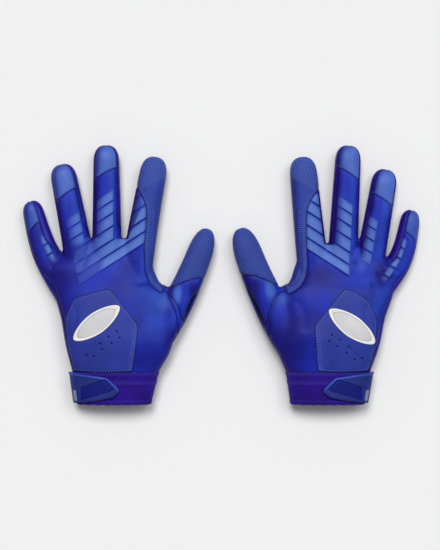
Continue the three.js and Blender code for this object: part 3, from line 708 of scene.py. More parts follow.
class Seams:
    """Where one glove's seams run, as levels that pass through zero on them."""

    def __init__(self, side):
        self.side = side
        self.stalls = {finger: Stall(side, finger) for finger in [*FINGERS, "thumb"]}
        self.web = place(WEB[side])
        index = self.stalls["index"]
        corners = [index.beside(*corner) for corner in INDEX_CORNERS]
        self.index_line = np.vstack([*corners, self.from_web(INDEX_SEAM[side])])
        self.index_level = left_of(self.index_line)
        self.thumb_level = left_of(self.from_web(THUMB_SEAM[side]))
        self.leather_level = left_of(self.from_web(THUMB_LEATHER[side]))
        self.thumb_palm_level = left_of(self.from_web(THUMB_PALM))
        root = place(STALL_SHARES[side]["index"][0])
        ends = [index.beside(*corner) for corner in GUSSET_CORNERS]
        self.gusset_level = left_of([(0, -4), (0, CUFF_LENGTH), root, *ends, ends[-1] + (0, 60)])

    def from_web(self, shares):
        return self.web + np.asarray(shares) * PALM_BREADTH

    def palm_level(self, p):
        """The palm's seam, which comes up into view along the thumb's outer edge."""
        low, high = OUTER_EDGE
        outer = smooth_step(self.web[0] + low, self.web[0] + high, p[:, 0])
        beside = smooth_step(*OUTER_REACH, np.abs(p[:, 1] - (self.web[1] - OUTER_MIDDLE)))
        return p[:, 2] - (seam_height(PALM_SEAM, p) + OUTER_RISE * outer * beside)

    def finger_places(self, p):
        """Nearest finger of each point, and its places along and across every finger."""
        found = {finger: stall.locate(p[:, :2]) for finger, stall in self.stalls.items()}
        names = list(found)
        nearness = np.stack([np.abs(found[f][1]) / (FINGER_WIDTH[f] / 2) for f in names], 1)
        return np.array(names)[nearness.argmin(1)], found

    def back_level(self, p):
        """The back's seam, which follows the gussets up between the fingers."""
        level = seam_height(BACK_SEAM, p)
        nearest, found = self.finger_places(p)
        for finger in FINGERS:
            back, across, (middle, _, half_height) = found[finger]
            low, high = GUSSET_REACH[self.side][finger]
            lean = smooth_step(-0.5, 0.5, across / FINGER_WIDTH[finger] * 2)
            own = middle + half_height * (low + (high - low) * lean)
            start, end = (FREE_LENGTH[finger] + GUSSET_FOOT[self.side] + step for step in GUSSET_RISES)
            share = smooth_step(start, end, back)
            level = np.where(nearest == finger, level + (own - level) * share, level)
        return p[:, 2] - level

    def cap_level(self, finger):
        ulnar, thumbward = CAP_LENGTH[finger][2:]

        def level(p):
            back, across, _ = self.stalls[finger].locate(p[:, :2])
            return cap_edge(finger, (across + ulnar) / (ulnar + thumbward)) - back

        return level

    def middle_level(self, finger):
        return lambda p: self.stalls[finger].locate(p[:, :2])[1]

    def around(self, finger, low, high):
        """Picks the points on top of a finger between two distances back from its tip."""
        def near(p):
            back, across, _ = self.stalls[finger].locate(p[:, :2])
            beside = np.abs(across) < FINGER_WIDTH[finger] / 2 + 3
            return (back > low) & (back < high) & beside & (p[:, 2] > BACK_ONLY[0])

        return near


def sew_panels(side):
    """Cuts the hand form along its seams and names the panel of every triangle."""
    points, triangles = hand_form(side)
    seams = Seams(side)
    web = seams.web
    slit_end = CUFF_LENGTH + SLIT_INTO_PALM

    def slit_level(p):
        return np.maximum(np.abs(p[:, 0] - SLIT_X) - SLIT_WIDTH / 2, p[:, 1] - slit_end)

    # Each seam is cut only inside a box of its own, given from the web where that is named.
    cuts = [
        (lambda p: p[:, 1] - CUFF_LENGTH - CUFF_GAP, within(EVERYWHERE, (-FAR, CUFF_LENGTH + 5), EVERYWHERE)),
        (seams.palm_level, None),
        (seams.back_level, None),
        (seams.gusset_level, within(EVERYWHERE, (110, FAR), BACK_ONLY)),
        (seams.index_level, within((-50, 30), (-12, FAR), BACK_ONLY, web)),
        (seams.thumb_level, within((-8, FAR), (-65, 25), BACK_ONLY, web)),
        (seams.leather_level, within((-6, FAR), (-30, 30), BACK_ONLY, web)),
        (seams.thumb_palm_level, within((-12, FAR), (-FAR, 20), (-FAR, 16), web)),
        (slit_level, within((SLIT_X - 5, SLIT_X + 5), (-FAR, slit_end + 4), (-FAR, 10))),
    ]
    for finger in CAPPED:
        cuts.append((seams.cap_level(finger), seams.around(finger, 10, 45)))
        cuts.append((seams.middle_level(finger), seams.around(finger, -5, 14)))
    for level, near in cuts:
        points, triangles = cut_along(points, triangles, level, near)
    middle = points[triangles].mean(1)
    nearest, found = seams.finger_places(middle)

    def side_of(level):
        return level(points)[triangles].sum(1) > 0

    lower = ~side_of(seams.palm_level)
    band = ~side_of(seams.back_level) & side_of(seams.gusset_level) & ~lower
    index_side = side_of(seams.index_level) & (middle[:, 1] > web[1] - 9)
    index_side &= (nearest == "index") | (middle[:, 0] > web[0] - 20)
    thumb_side = side_of(seams.thumb_level)
    name = np.full(len(triangles), "back_panel", object)
    name[index_side & ~thumb_side] = "index_finger_wrap"
    name[thumb_side] = "thumb_back_panel"
    name[thumb_side & side_of(seams.leather_level)] = "thumb_wrap"
    for finger in CAPPED:
        name[side_of(seams.cap_level(finger)) & (nearest == finger)] = finger + "_fingertip_cap"
    for finger, gussets in GUSSETS.items():
        thumbward = found[finger][1] > 0
        for own, gusset in zip((~thumbward, thumbward), gussets):
            name[band & (nearest == finger) & own] = gusset
    name[band & (middle[:, 1] < EDGE_END)] = "edge_gusset"
    name[lower] = "palm_panel"
    by_thumb = (middle[:, 0] > web[0] - 14) & (middle[:, 1] < web[1] + 60)
    name[lower & side_of(seams.thumb_palm_level) & by_thumb] = "thumb_palm_panel"
    name[middle[:, 1] < CUFF_LENGTH + CUFF_GAP] = ""
    name[(slit_level(middle) < 0) & (middle[:, 2] < 10)] = ""
    return points, triangles, name, seams


def seam_points(points, triangles, name):
    """Points along the edges where two panels meet, also halfway between them."""
    pairs, codes = sides_of(triangles, len(points))
    owner = np.tile(np.unique(name, return_inverse=True)[1], 3)
    order = np.argsort(codes, kind="stable")
    codes, owner, pairs = codes[order], owner[order], pairs[order]
    border = (codes[1:] == codes[:-1]) & (owner[1:] != owner[:-1])
    ends = pairs[1:][border]
    return np.concatenate([points[ends[:, 0]], points[ends[:, 1]], points[ends].mean(1)])


# The raised strips' slant, and how far up the glove the dark lines between them run
STRIP_TURN = math.radians(33)
STRIP_LINES = [99.6, 107.8, 116.7, 126.5, 135.8, 144.8, 152.7]
# How far the strips reach across each finger from its middle: little-finger side, thumb side
STRIP_REACH = {
    "left": {"index": (-11, 20), "middle": (-8, 6), "ring": (-4.6, 7.4), "little": (0.4, 5.6)},
    "right": {"index": (-11, 20), "middle": (-5.6, 7), "ring": (0.2, 8.8), "little": (0.4, 5.6)},
}
STRIP_FIELD = {
    "left": [
        (-33.5, 121.4), (-26.5, 96), (10, 97), (62, 116), (62, 168), (24, 168), (13, 141), (4, 141),
        (-15, 142), (-22, 142), (-31, 133),
    ],
    "right": [
        (-17.5, 130), (-16.5, 104), (10, 103), (62, 114), (62, 168), (19, 168), (9, 139), (0, 136), (-8, 136),
    ],
}
# How much further the strips run down from each finger, and how far their lines are moved
STRIP_FOOT = {"left": 9, "right": 20}
STRIP_SHIFT = {"left": 0, "right": -0.7}
# The left glove's lower strips end here. The ring fingers' strips are weaker than the others.
LOWER_STRIPS_END, RING_STRENGTH = 141, 0.75


def at_least(least, share):
    return least + (1 - least) * share


def strips(side, seams, p):
    """Which raised strip each point lies on, counted upwards, and how far it is on the strips."""
    rise = -(p[:, 0] - STRIP_SHIFT[side]) * math.sin(STRIP_TURN) + p[:, 1] * math.cos(STRIP_TURN)
    phase = np.interp(rise, STRIP_LINES, np.arange(len(STRIP_LINES)))
    nearest, found = seams.finger_places(p)
    field = smooth_step(-0.4, 1.2, inside_outline(p[:, :2], STRIP_FIELD[side]))
    if side == "left":
        # The lower strips fade away towards the little finger.
        lowest = at_least(0.2, smooth_step(-12, -4, p[:, 0]))
        lower = at_least(0.22, smooth_step(-27, 2, p[:, 0]))
        field *= np.where(phase < 1, lowest, np.where(p[:, 1] < LOWER_STRIPS_END, lower, 1))
    for finger in FINGERS:
        back, across, _ = found[finger]
        low, high = STRIP_REACH[side][finger]
        # On a finger they fade in from the little-finger side on the left glove, or the thumb side.
        if side == "left":
            grown = smooth_step(low - 1, low + (high - low) * 0.7, across)
        else:
            grown = smooth_step(-high - 1, -high + (high - low) * 0.6, -across)
        own = smooth_step(low - 0.4, low + 0.8, across) * smooth_step(high + 0.4, high - 0.4, across)
        own *= at_least(0.15, grown)
        foot = FREE_LENGTH[finger] + STRIP_FOOT[side]
        own *= smooth_step(foot, foot - 8, back) * (RING_STRENGTH if finger == "ring" else 1)
        field = np.maximum(field, np.where(nearest == finger, own, 0))
    field *= smooth_step(STRIP_LINES[0] - 0.3, STRIP_LINES[0] + 0.3, rise)
    field *= smooth_step(STRIP_LINES[-1] + 0.3, STRIP_LINES[-1] - 0.3, rise)
    return phase, np.clip(field, 0, 1)


# Soft folds: middle line in millimetres, depth, width
SOFT_CREASES = [
    ([(-27, 36), (-20, 44), (-12, 54)], 0.35, 1.6),
    ([(-34, 62), (-30, 74), (-31, 86)], 0.5, 2.2),
    ([(30, 92), (22, 78), (20, 60)], 0.35, 4.0),
    ([(12, 124), (20, 112), (24, 98)], 0.25, 4.0),
    ([(-20, 136), (-23, 124), (-27, 112)], 0.4, 2.6),
    ([(8, 136), (7, 124), (2, 110)], 0.35, 2.6),
]
CREASES = {
    "left": SOFT_CREASES + [
        ([(-67, 128), (-62, 118), (-57, 108)], 0.35, 1.2),
        ([(-62, 124), (-57, 113), (-52, 102)], 0.3, 1.2),
        ([(-60, 134), (-54, 122), (-49, 112)], 0.3, 1.4),
    ],
    "right": SOFT_CREASES + [
        ([(-44, 121), (-49, 112), (-55, 104)], 0.4, 1.3),
        ([(-38, 116), (-42, 104), (-46, 92)], 0.4, 1.3),
        ([(-33, 108), (-36, 96), (-39, 86)], 0.35, 1.4),
        ([(-49, 124), (-54, 116), (-60, 112)], 0.35, 1.2),
    ],
}
# Soft painted lights and shades in the satin, where its folds and sheen catch or lose the light: place in
# millimetres, radii across and along, strength
PAINTED_LIGHTS_AND_SHADES = {
    "left": [
        (-45, 107, 15, 19, -0.85), (16, 117, 10, 9, -0.5), (-36, 131, 8, 9, -0.35), (42, 87, 7, 8, 0.6),
        (30, 91, 8, 8, 0.2), (33, 46, 14, 24, -0.5), (51, 54, 8, 18, -0.5), (22, 72, 7, 9, -0.3),
        (-20, 150, 5, 16, -0.2), (-52, 128, 6, 12, -0.3), (10, 34, 16, 6, -0.25), (55.5, 93.5, 3.6, 9, 1.0),
        (68, 98, 5, 9, -0.7), (62, 84, 4, 8, -0.3), (4, 99, 15, 13, -0.52), (-9, 168, 4, 14, 0.2),
        (-40, 172, 4, 8, 0.3), (38, 75, 9, 6, 0.2), (-65, 148, 7, 16, -0.5),
    ],
    "right": [
        (-28, 118, 8, 9, 0.4), (8, 109, 15, 13, -0.8), (-31, 91, 9, 9, -0.4), (32, 52, 15, 25, -0.65),
        (12, 75, 8, 12, -0.4), (50.7, 98.5, 4.2, 9, 1.0), (62, 98, 5, 12, -0.75), (39, 89, 7, 6, 0.6),
        (-45, 111, 10, 11, -0.85), (50, 60, 9, 16, -0.4), (-13, 178, 5, 12, 0.2), (-48, 168, 5, 10, 0.3),
        (26, 72, 10, 8, -0.3), (-66, 132, 6, 14, -0.3),
    ],
}
# The open seam on the outer edge of the thumb's foot, painted dark as the shadow in its gap, in millimetres
THUMB_SLIT = {
    "left": [(72.6, 98.5), (67.7, 88.7), (63.8, 79.4), (58.8, 68.4)],
    "right": [(69.8, 104), (66.9, 95), (62.1, 84.1), (57.4, 74), (53.8, 66.5)],
}
# The relief: how far panels puff up between seams, and how deep seams lie, each with its reach; how
# deep the open seam is and how high the strips stand
PUFF, SEAM_DEPTH, SLIT_DEPTH, STRIP_HEIGHT = (0.25, 2.5), (0.45, 0.65), 1.6, 0.45
# Folds and the open seam are only above this height, and the thumb's base seam above the other.
FOLDS_FROM, BASE_SEAM_FROM = 8, 14
LOWEST = 0.05
# One unit of a flat map
FLAT_UNIT = 10


def bell(value, width):
    return np.exp(-((value / width) ** 2))


def seam_distances(side, seams, points, triangles, name):
    """How far each point is from the nearest seam, the thumb's base seam too."""
    distance = nearest_distance(points, seam_points(points, triangles, name))
    base_line = seams.from_web(BASE_SEAM[side])
    from_line, _ = beside_line(points[:, :2], walk(base_line, 1)[0])
    over_base = (points[:, 2] > BASE_SEAM_FROM) & (np.abs(points[:, 1] - base_line[:, 1].mean()) < 18)
    return np.where(over_base, np.minimum(distance, np.abs(from_line)), distance)


def open_seams(side, points):
    """How open the seam on the thumb's foot is at each point, where the satin gets a painted shadow."""
    slit = walk(THUMB_SLIT[side], 1)[0]
    from_slit, along = beside_line(points[:, :2], slit)
    opened = np.sin(np.pi * np.clip(along / len(slit), 0, 1)) * smooth_step(1.7, 0.7, np.abs(from_slit))
    return opened * (points[:, 2] > FOLDS_FROM)


def painted_light_and_shade(side, points):
    """The broad painted lights and shades in the satin."""
    painted_shading = np.zeros(len(points))
    for x, y, wide, deep, strength in PAINTED_LIGHTS_AND_SHADES[side]:
        spread = ((points[:, 0] - x) / wide) ** 2 + ((points[:, 1] - y) / deep) ** 2
        painted_shading += strength * np.exp(-spread)
    return painted_shading


def fold_depth(side, points):
    """How deep the soft folds are at each point."""
    total = np.zeros(len(points))
    for line, depth, width in CREASES[side]:
        path = walk(line, 1)[0]
        away, along = beside_line(points[:, :2], path)
        ends = smooth_step(0, 6, along) * smooth_step(len(path), len(path) - 6, along)
        total += depth * bell(away, width) * ends * (points[:, 2] > FOLDS_FROM)
    return total


def embossing(panel, points, distance, back, across):
    """How deep the rows of dashes are pressed into a leather panel."""
    if panel == "thumb_wrap":
        return smooth_step(0.8, 2.5, distance) * smooth_step(9, 12, points[:, 2])
    if panel == "index_finger_wrap":
        return smooth_step(26.5, 23, back + across * 0.7) * smooth_step(0.6, 1.6, distance)
    return np.zeros(len(points))


def build_glove_panels(side):
    """One glove's panels as sheets, with the surface and the seams that they were cut from."""
    points, triangles, name, seams = sew_panels(side)
    distance = seam_distances(side, seams, points, triangles, name)
    opened, painted_shading = open_seams(side, points), painted_light_and_shade(side, points)
    phase, field = strips(side, seams, points)
    on_back = np.zeros(len(points))
    on_back[np.unique(triangles[name == "back_panel"])] = 1
    field = field * on_back
    share = phase % 1
    profile = smooth_step(0, 0.1, share) * smooth_step(1.0, 0.9, share)
    lift = PUFF[0] * (1 - bell(distance, PUFF[1])) - SEAM_DEPTH[0] * bell(distance, SEAM_DEPTH[1])
    lift += STRIP_HEIGHT * profile * field * smooth_step(0.5, 2.5, distance)
    lift -= SLIT_DEPTH * opened + fold_depth(side, points)
    points = points + vertex_normals(points, triangles) * lift[:, None]
    points[:, 2] = np.maximum(points[:, 2], LOWEST)
    # Under and round each vent the back gets painted shade, as the shade down the vent's hole
    shade = distance.copy()
    for vent in place(VENTS) + place(BADGE_SHIFT[side]):
        shade = np.minimum(shade, np.hypot(*(points[:, :2] - vent).T) - VENT_RADIUS)
    pieces = {}
    for panel in PANELS:
        old, faces = pull_out(triangles, name == panel)
        piece = quick_piece(f"{side} {panel}", points[old], faces)
        set_number(piece, "seam", (shade if panel == "back_panel" else distance)[old])
        for label, values in {"phase": phase, "field": field, "painted_shading": painted_shading, "open_seam": opened}.items():
            set_number(piece, label, values[old])
        stall = seams.stalls["thumb" if panel.startswith("thumb") else "index"]
        back, across, _ = stall.locate(points[old][:, :2])
        set_number(piece, "emboss", embossing(panel, points[old], distance[old], back, across))
        set_flat_map(piece, "Sewn", np.stack([across, back], 1) / FLAT_UNIT)
        pieces[panel] = piece
    return pieces, points, triangles, name, seams


# Flat work, and the cuff that it is bent round
def flat_sheet(name, low, high, spacing):
    """A flat sheet of even squares between two corners."""
    low, high = np.asarray(low, float), np.asarray(high, float)
    size, middle = high - low, (high + low) / 2
    cells = np.maximum(np.ceil(size / spacing).astype(int), 2)
    pick_nothing()
    bpy.ops.mesh.primitive_grid_add(x_subdivisions=int(cells[0]), y_subdivisions=int(cells[1]), size=1)
    sheet = bpy.context.object
    sheet.name = name
    edit_all(sheet)
    bpy.ops.transform.resize(value=(size[0], size[1], 1))
    bpy.ops.transform.translate(value=(middle[0], middle[1], 0))
    close_edit()
    return sheet


def trim(sheet, level):
    """Cuts a sheet along the line where a level passes through zero and keeps what lies inside."""
    name = sheet.name
    points, triangles = read_triangles(sheet)
    bpy.data.objects.remove(sheet)
    points, triangles = cut_along(points, triangles, level)
    old, faces = pull_out(triangles, level(points[triangles].mean(1)) > 0)
    return quick_piece(name, points[old], faces)


class CuffWrap:
    """Bends flat work round a cuff. Its X runs from the cuff's little-finger edge over its back."""

    def __init__(self, side):
        self.edge = PALM_SHARES[side][0][1] * PALM_BREADTH
        self.wrist_middle, self.wrist_breadth = wrist(side)
        self.turn = np.linspace(-1.6 * np.pi, 2.2 * np.pi, 4001)
        _, half_width, half_height = self.section(CUFF_LENGTH / 2, 0)
        x, z = -half_width * round_power(np.cos(self.turn)), half_height * round_power(np.sin(self.turn))
        length = reach_of(np.stack([x, z], 1))
        self.reach = length - np.interp(0, self.turn, length)
        self.whole = np.interp(2 * np.pi, self.turn, self.reach)

    def section(self, y, offset):
        share = y / CUFF_LENGTH
        middle = HEM_MIDDLE + (self.wrist_middle - HEM_MIDDLE) * share
        half_width = (HEM_BREADTH + (self.wrist_breadth - HEM_BREADTH) * share) / 2
        return middle, half_width + offset, CUFF_HEIGHT / 2 + offset

    def bend(self, points, rise=0.0):
        turn = np.interp(points[:, 0], self.reach, self.turn)
        middle, half_width, half_height = self.section(points[:, 1], points[:, 2])
        x = middle - half_width * round_power(np.cos(turn))
        z = CUFF_LIFT + CUFF_HEIGHT / 2 + rise + half_height * round_power(np.sin(turn))
        return np.stack([x, points[:, 1], z], 1)

    def around(self, x, y=CUFF_LENGTH / 2, offset=0, below=False):
        """How far round the cuff a place in plan lies."""
        middle, half_width, _ = self.section(y, offset)
        turn = np.linspace(0, np.pi, 721)
        found = np.interp(x, middle - half_width * round_power(np.cos(turn)), turn)
        return float(np.interp(-found if below else found, self.turn, self.reach))

    def strap_places(self, shares, offset, below=False):
        """Places on the strap, given as shares of its reach and of the cuff's length."""
        made = []
        for u, v in shares:
            y = v * CUFF_LENGTH
            made.append((self.around(self.edge + u * STRAP_REACH, y, offset, below), y))
        return np.array(made)


def lay_on_cuff(piece, wrap, points, rise=0.0):
    """Bends a flat piece round the cuff, and keeps its flat places as its map."""
    set_flat_map(piece, "Sewn", points[:, :2] / FLAT_UNIT)
    write_points(piece, wrap.bend(points, rise))
    return piece


def slit_ends(wrap):
    """Where the cuff's knit starts and ends, at its vent slit."""
    start = wrap.around(SLIT_X - SLIT_WIDTH / 2, below=True)
    return start, wrap.whole + wrap.around(SLIT_X + SLIT_WIDTH / 2, below=True)


# The knit: its wall, the pitch and height of its ribs, how far up they run, the middles of its two
# sewn channels, and its hem's seam
KNIT_WALL, RIB_PITCH, RIB_HEIGHT, RIB_ENDS = 1.9, 1.75, 0.09, (24, 21)
CHANNELS, HEM_SEAM = (22.2, 15.6), 4.5
# The elastic's thickness, its lower and upper edges, its cords' pitch and how deep it lies inside
ELASTIC_WALL, ELASTIC_EDGES, ELASTIC_CORD, ELASTIC_UNDER = 0.9, (14, 23), 1.5, 2.2


def knit_cuff(side, wrap):
    """The ribbed knit with its turned hem."""
    start, end = slit_ends(wrap)
    cuff = flat_sheet(f"{side} knit cuff", (start, 0), (end, CUFF_LENGTH), 0.55)
    thicken(cuff, KNIT_WALL)
    points = read_points(cuff)
    around, y, height = points.T
    hem = smooth_step(HEM_SEAM - 0.1, HEM_SEAM - 0.6, y)
    ribs = RIB_HEIGHT * np.cos(2 * np.pi * around / RIB_PITCH) * smooth_step(*RIB_ENDS, y) * (1 - 0.6 * hem)
    fold = 0.4 * hem * np.sqrt(np.clip(1 - ((y - 2.2) / 2.4) ** 2, 0, 1)) - 0.3 * bell(y - HEM_SEAM, 0.5)
    channels = sum(-0.25 * bell(y - middle, 0.6) for middle in CHANNELS)
    ends = -0.6 * bell(y - CUFF_LENGTH, 0.7) - 0.6 * bell(y, 0.5)
    gather = 0.12 * np.sin(2 * np.pi * around / 3.1 + np.sin(around)) * smooth_step(12, 16, y)
    outer = height > -KNIT_WALL / 2
    points[:, 2] = np.where(outer, height + ribs + fold + channels + ends + gather, height - ends)
    points[:, 1] += 0.15 * np.sin(around * 0.7) * smooth_step(3, 0, y)
    return lay_on_cuff(cuff, wrap, points)


def wrist_elastic(side, wrap):
    """The gathering elastic inside the wrist."""
    start, end = slit_ends(wrap)
    low, high = ELASTIC_EDGES
    elastic = flat_sheet(f"{side} wrist elastic", (start, low), (end, high), 0.6)
    thicken(elastic, ELASTIC_WALL)
    points = read_points(elastic)
    cords = 1 + 0.15 * np.cos(2 * np.pi * points[:, 1] / ELASTIC_CORD)
    points[:, 2] = points[:, 2] * cords - ELASTIC_UNDER
    return lay_on_cuff(elastic, wrap, points)


def strap_outlines(wrap):
    """The whole strap's outline over the cuff, its hinge line and its recess, laid flat."""
    over = wrap.strap_places([(max(u, 0), v) for u, v in TAB], STRAP_CLEAR)
    over[0, 0] = over[-1, 0] = 0
    hinge = wrap.around(wrap.edge + HINGE_FROM_EDGE, offset=STRAP_CLEAR)
    under = wrap.strap_places(ANCHOR_UNDER, STRAP_CLEAR, below=True)
    whole = np.concatenate([over[:-1][::-1], under, over[-1:]])
    return whole, over, hinge, wrap.strap_places(RECESS, STRAP_CLEAR)


# The strap's rim stands up and its recess is sunk, with a number of slanting grip ribs in it.
RIM_HEIGHT, RECESS_DEPTH, GRIP_HEIGHT, GRIP_COUNT, GRIP_SLANT = 0.5, 0.75, 0.3, 7, 0.35
# The pads: how far inside the strap, how far from the cuff's edge, their thickness and their tufts
PAD_MARGIN, PAD_FROM_EDGE, PAD_WALL, TUFT_HEIGHT = 3, 13, 0.5, 0.09
PAD_TOPS = {"loop_pad": 0.8, "hook_pad": 1.0}
# The end tag: its lower and upper edges, its thickness, how far it stands above the strap, and how far
# its two sides lie in from the strap's edge at the given place up the cuff
TAG_EDGES, TAG_WALL, TAG_ABOVE_STRAP = (3.6, 12.5), 0.5, 0.3
TAG_SIDES, TAG_INSET, TAG_MIDDLE = (0.6, 3.1), 1.3, 7.75


def mould(piece, whole, over, recess):
    """Raises the strap's rim and sinks its ribbed recess, with every edge softened."""
    points = read_points(piece)
    flat, height = points[:, :2], points[:, 2]
    inside = inside_outline(flat, whole)
    edge = np.clip(1 - inside / 0.9, 0, 1)
    softened = 0.55 * (1 - np.sqrt(1 - edge**2 * 0.98))
    from_rim, _ = beside_line(flat, over[:5])
    rim = smooth_step(2.3, 1.5, np.abs(from_rim)) * smooth_step(-8, -2, flat[:, 0])
    sunk = inside_outline(flat, recess)
    well = smooth_step(-0.1, 0.45, sunk)
    start, end = recess[:, 0].min(), recess[:, 0].max()
    turn = 2 * np.pi * (flat[:, 0] - start - GRIP_SLANT * flat[:, 1]) / ((end - start) / GRIP_COUNT)
    ribs = smooth_step(0.1, 0.6, np.cos(turn)) * smooth_step(1.1, 1.7, sunk)
    relief = -softened + RIM_HEIGHT * rim * (1 - well) - RECESS_DEPTH * well + GRIP_HEIGHT * ribs
    lip = 0.12 * smooth_step(0.6, 1.4, inside) * smooth_step(0.2, -0.6, sunk)
    top = height > -STRAP_THICKNESS / 2
    points[:, 2] = np.where(top, height + relief + lip, height)
    set_number(piece, "well", np.where(top, well, 0))
    set_number(piece, "rim", np.where(top, rim * (1 - well), 0))
    set_number(piece, "seam", np.where(sunk > -2, np.abs(sunk), 5))
    return points


def strap_pieces(side, wrap, inside_strap, outlines, corners):
    """The closure tab and the strap anchor, on the two sides of the hinge."""
    whole, over, hinge, recess = outlines
    made = {}
    for name, way in (("closure_tab", 1), ("strap_anchor", -1)):
        def level(p):
            return np.minimum(inside_strap(p), way * (p[:, 0] - hinge) - HINGE_GAP / 2)

        piece = trim(flat_sheet(f"{side} {name}", *corners, 0.42), level)
        thicken(piece, STRAP_THICKNESS)
        points = mould(piece, whole, over, recess)
        points[:, 2] += STRAP_CLEAR + STRAP_THICKNESS
        made[name] = lay_on_cuff(piece, wrap, points, STRAP_RISE)
    return made


def pads(side, wrap, inside_strap, corners):
    """The loop pad on the cuff and the hook pad under the tab."""
    start = wrap.around(wrap.edge + PAD_FROM_EDGE, offset=0.5)
    made = {}
    for name, top in PAD_TOPS.items():
        sheet = flat_sheet(f"{side} {name}", *corners, 0.8)
        piece = trim(sheet, lambda p: np.minimum(inside_strap(p) - PAD_MARGIN, p[:, 0] - start))
        thicken(piece, PAD_WALL)
        points = read_points(piece)
        x, y, height = points.T
        tuft = TUFT_HEIGHT * np.cos(x * 4.1 + np.cos(y * 3.3)) * np.cos(y * 3.9)
        loops = name == "loop_pad"
        rough = height > -PAD_WALL / 2 if loops else height < -PAD_WALL / 2
        points[:, 2] += top + np.where(rough, tuft, 0)
        made[name] = lay_on_cuff(piece, wrap, points, 0 if loops else STRAP_RISE)
    return made


def end_tag(side, wrap):
    """The small woven tag on the strap, where it turns round the cuff's edge."""
    bed = STRAP_CLEAR + STRAP_THICKNESS + TAG_ABOVE_STRAP
    hem_edge = HEM_MIDDLE - HEM_BREADTH / 2
    edge = hem_edge + (wrap.edge - hem_edge) * TAG_MIDDLE / CUFF_LENGTH + TAG_INSET
    edge -= STRAP_CLEAR + STRAP_THICKNESS
    start, end = (wrap.around(edge + step, TAG_MIDDLE, bed) for step in TAG_SIDES)
    low, high = TAG_EDGES
    tag = flat_sheet(f"{side} end tag", (start, low), (end, high), 0.35)
    thicken(tag, TAG_WALL)
    points = read_points(tag)
    x, y, height = points.T
    inside = np.min([x - start, end - x, y - low, high - y], 0)
    weave = 0.04 * np.cos(2 * np.pi * y / 0.9)
    points[:, 2] += bed + TAG_WALL + np.where(height > -TAG_WALL / 2, weave - 0.2 * bell(inside, 0.3), 0)
    return lay_on_cuff(tag, wrap, points, STRAP_RISE)


def closure(side, wrap):
    """The moulded strap in its two pieces, the pads between it and the cuff, and the end tag."""
    whole, over, hinge, recess = strap_outlines(wrap)
    whole, recess = rounded(whole, 1.6), rounded(recess, 1.2)
    corners = whole.min(0) - 0.5, whole.max(0) + 0.5

    def inside_strap(p):
        return inside_outline(p[:, :2], whole)

    made = strap_pieces(side, wrap, inside_strap, (whole, over, hinge, recess), corners)
    return made | pads(side, wrap, inside_strap, corners) | {"end_tag": end_tag(side, wrap)}


# The back patch and its badge
# The patch's face above the back, its thickness, its edge's drop and width, and its sewn line from it
PATCH_RISE, PATCH_WALL, EDGE_DROP, EDGE_WIDTH, PATCH_SEWN = 1.15, 0.7, 0.4, 0.8, 1.6
BADGE_RISE = 1.0


def split_triangles(points, triangles):
    """Every triangle in four."""
    count = len(points)
    codes, number = np.unique(sides_of(triangles, count)[1], return_inverse=True)
    ends = np.stack([codes // count, codes % count], 1)
    ab, bc, ca = (count + number).reshape(3, -1)
    a, b, c = triangles.T
    made = [np.stack(t, 1) for t in ((a, ab, ca), (ab, b, bc), (ca, bc, c), (ab, bc, ca))]
    return np.concatenate([points, points[ends].mean(1)]), np.concatenate(made)


def back_patch(side, points, triangles, name):
    """The semi-matt patch on the back of the hand, with its vents."""
    outline = rounded(place(PATCH[side]), 3)
    vents = place(VENTS) + place(BADGE_SHIFT[side])

    def inside_patch(p):
        return inside_outline(p[:, :2], outline)

    def from_vents(p):
        return np.min([np.hypot(*(p[:, :2] - vent).T) for vent in vents], 0) - VENT_RADIUS

    middle = points[triangles].mean(1)
    chosen = (inside_patch(middle) > -2.5) & (middle[:, 2] > HAND_HEIGHT / 2) & (name != "")
    old, faces = pull_out(triangles, chosen)
    sheet, faces = split_triangles(points[old], faces)
    sheet = relax(sheet, edges_of(faces, len(sheet)), 2, held=inside_patch(sheet) < -1)
    sheet, faces = cut_along(sheet, faces, inside_patch)
    sheet, faces = cut_along(sheet, faces, from_vents, lambda p: from_vents(p) < 2)
    middle = sheet[faces].mean(1)
    old, faces = pull_out(faces, (inside_patch(middle) > 0) & (from_vents(middle) > 0))
    sheet = sheet[old]
    inside = inside_patch(sheet)
    edge = np.clip(1 - inside / EDGE_WIDTH, 0, 1)
    height = PATCH_RISE - EDGE_DROP * (1 - np.sqrt(1 - 0.98 * edge**2))
    height -= 0.14 * bell(inside - PATCH_SEWN, 0.5) + 0.25 * bell(from_vents(sheet), 0.35)
    patch = quick_piece(f"{side} back patch", sheet + vertex_normals(sheet, faces) * height[:, None], faces)
    thicken(patch, PATCH_WALL)
    set_number(patch, "seam", np.minimum(np.abs(inside_patch(read_points(patch))), 8))
    return patch, outline


def look_down(surface, x, y):
    """The place and normal of a surface seen from above; a miss between faces is tried beside it."""
    for step in (0, 0.013, -0.017, 0.05, -0.07):
        hit, normal, _, _ = surface.ray_cast(Vector((x + step, y + step * 0.7, 60)), Vector((0, 0, -1)))
        if hit is not None:
            return hit, normal
    return None, None


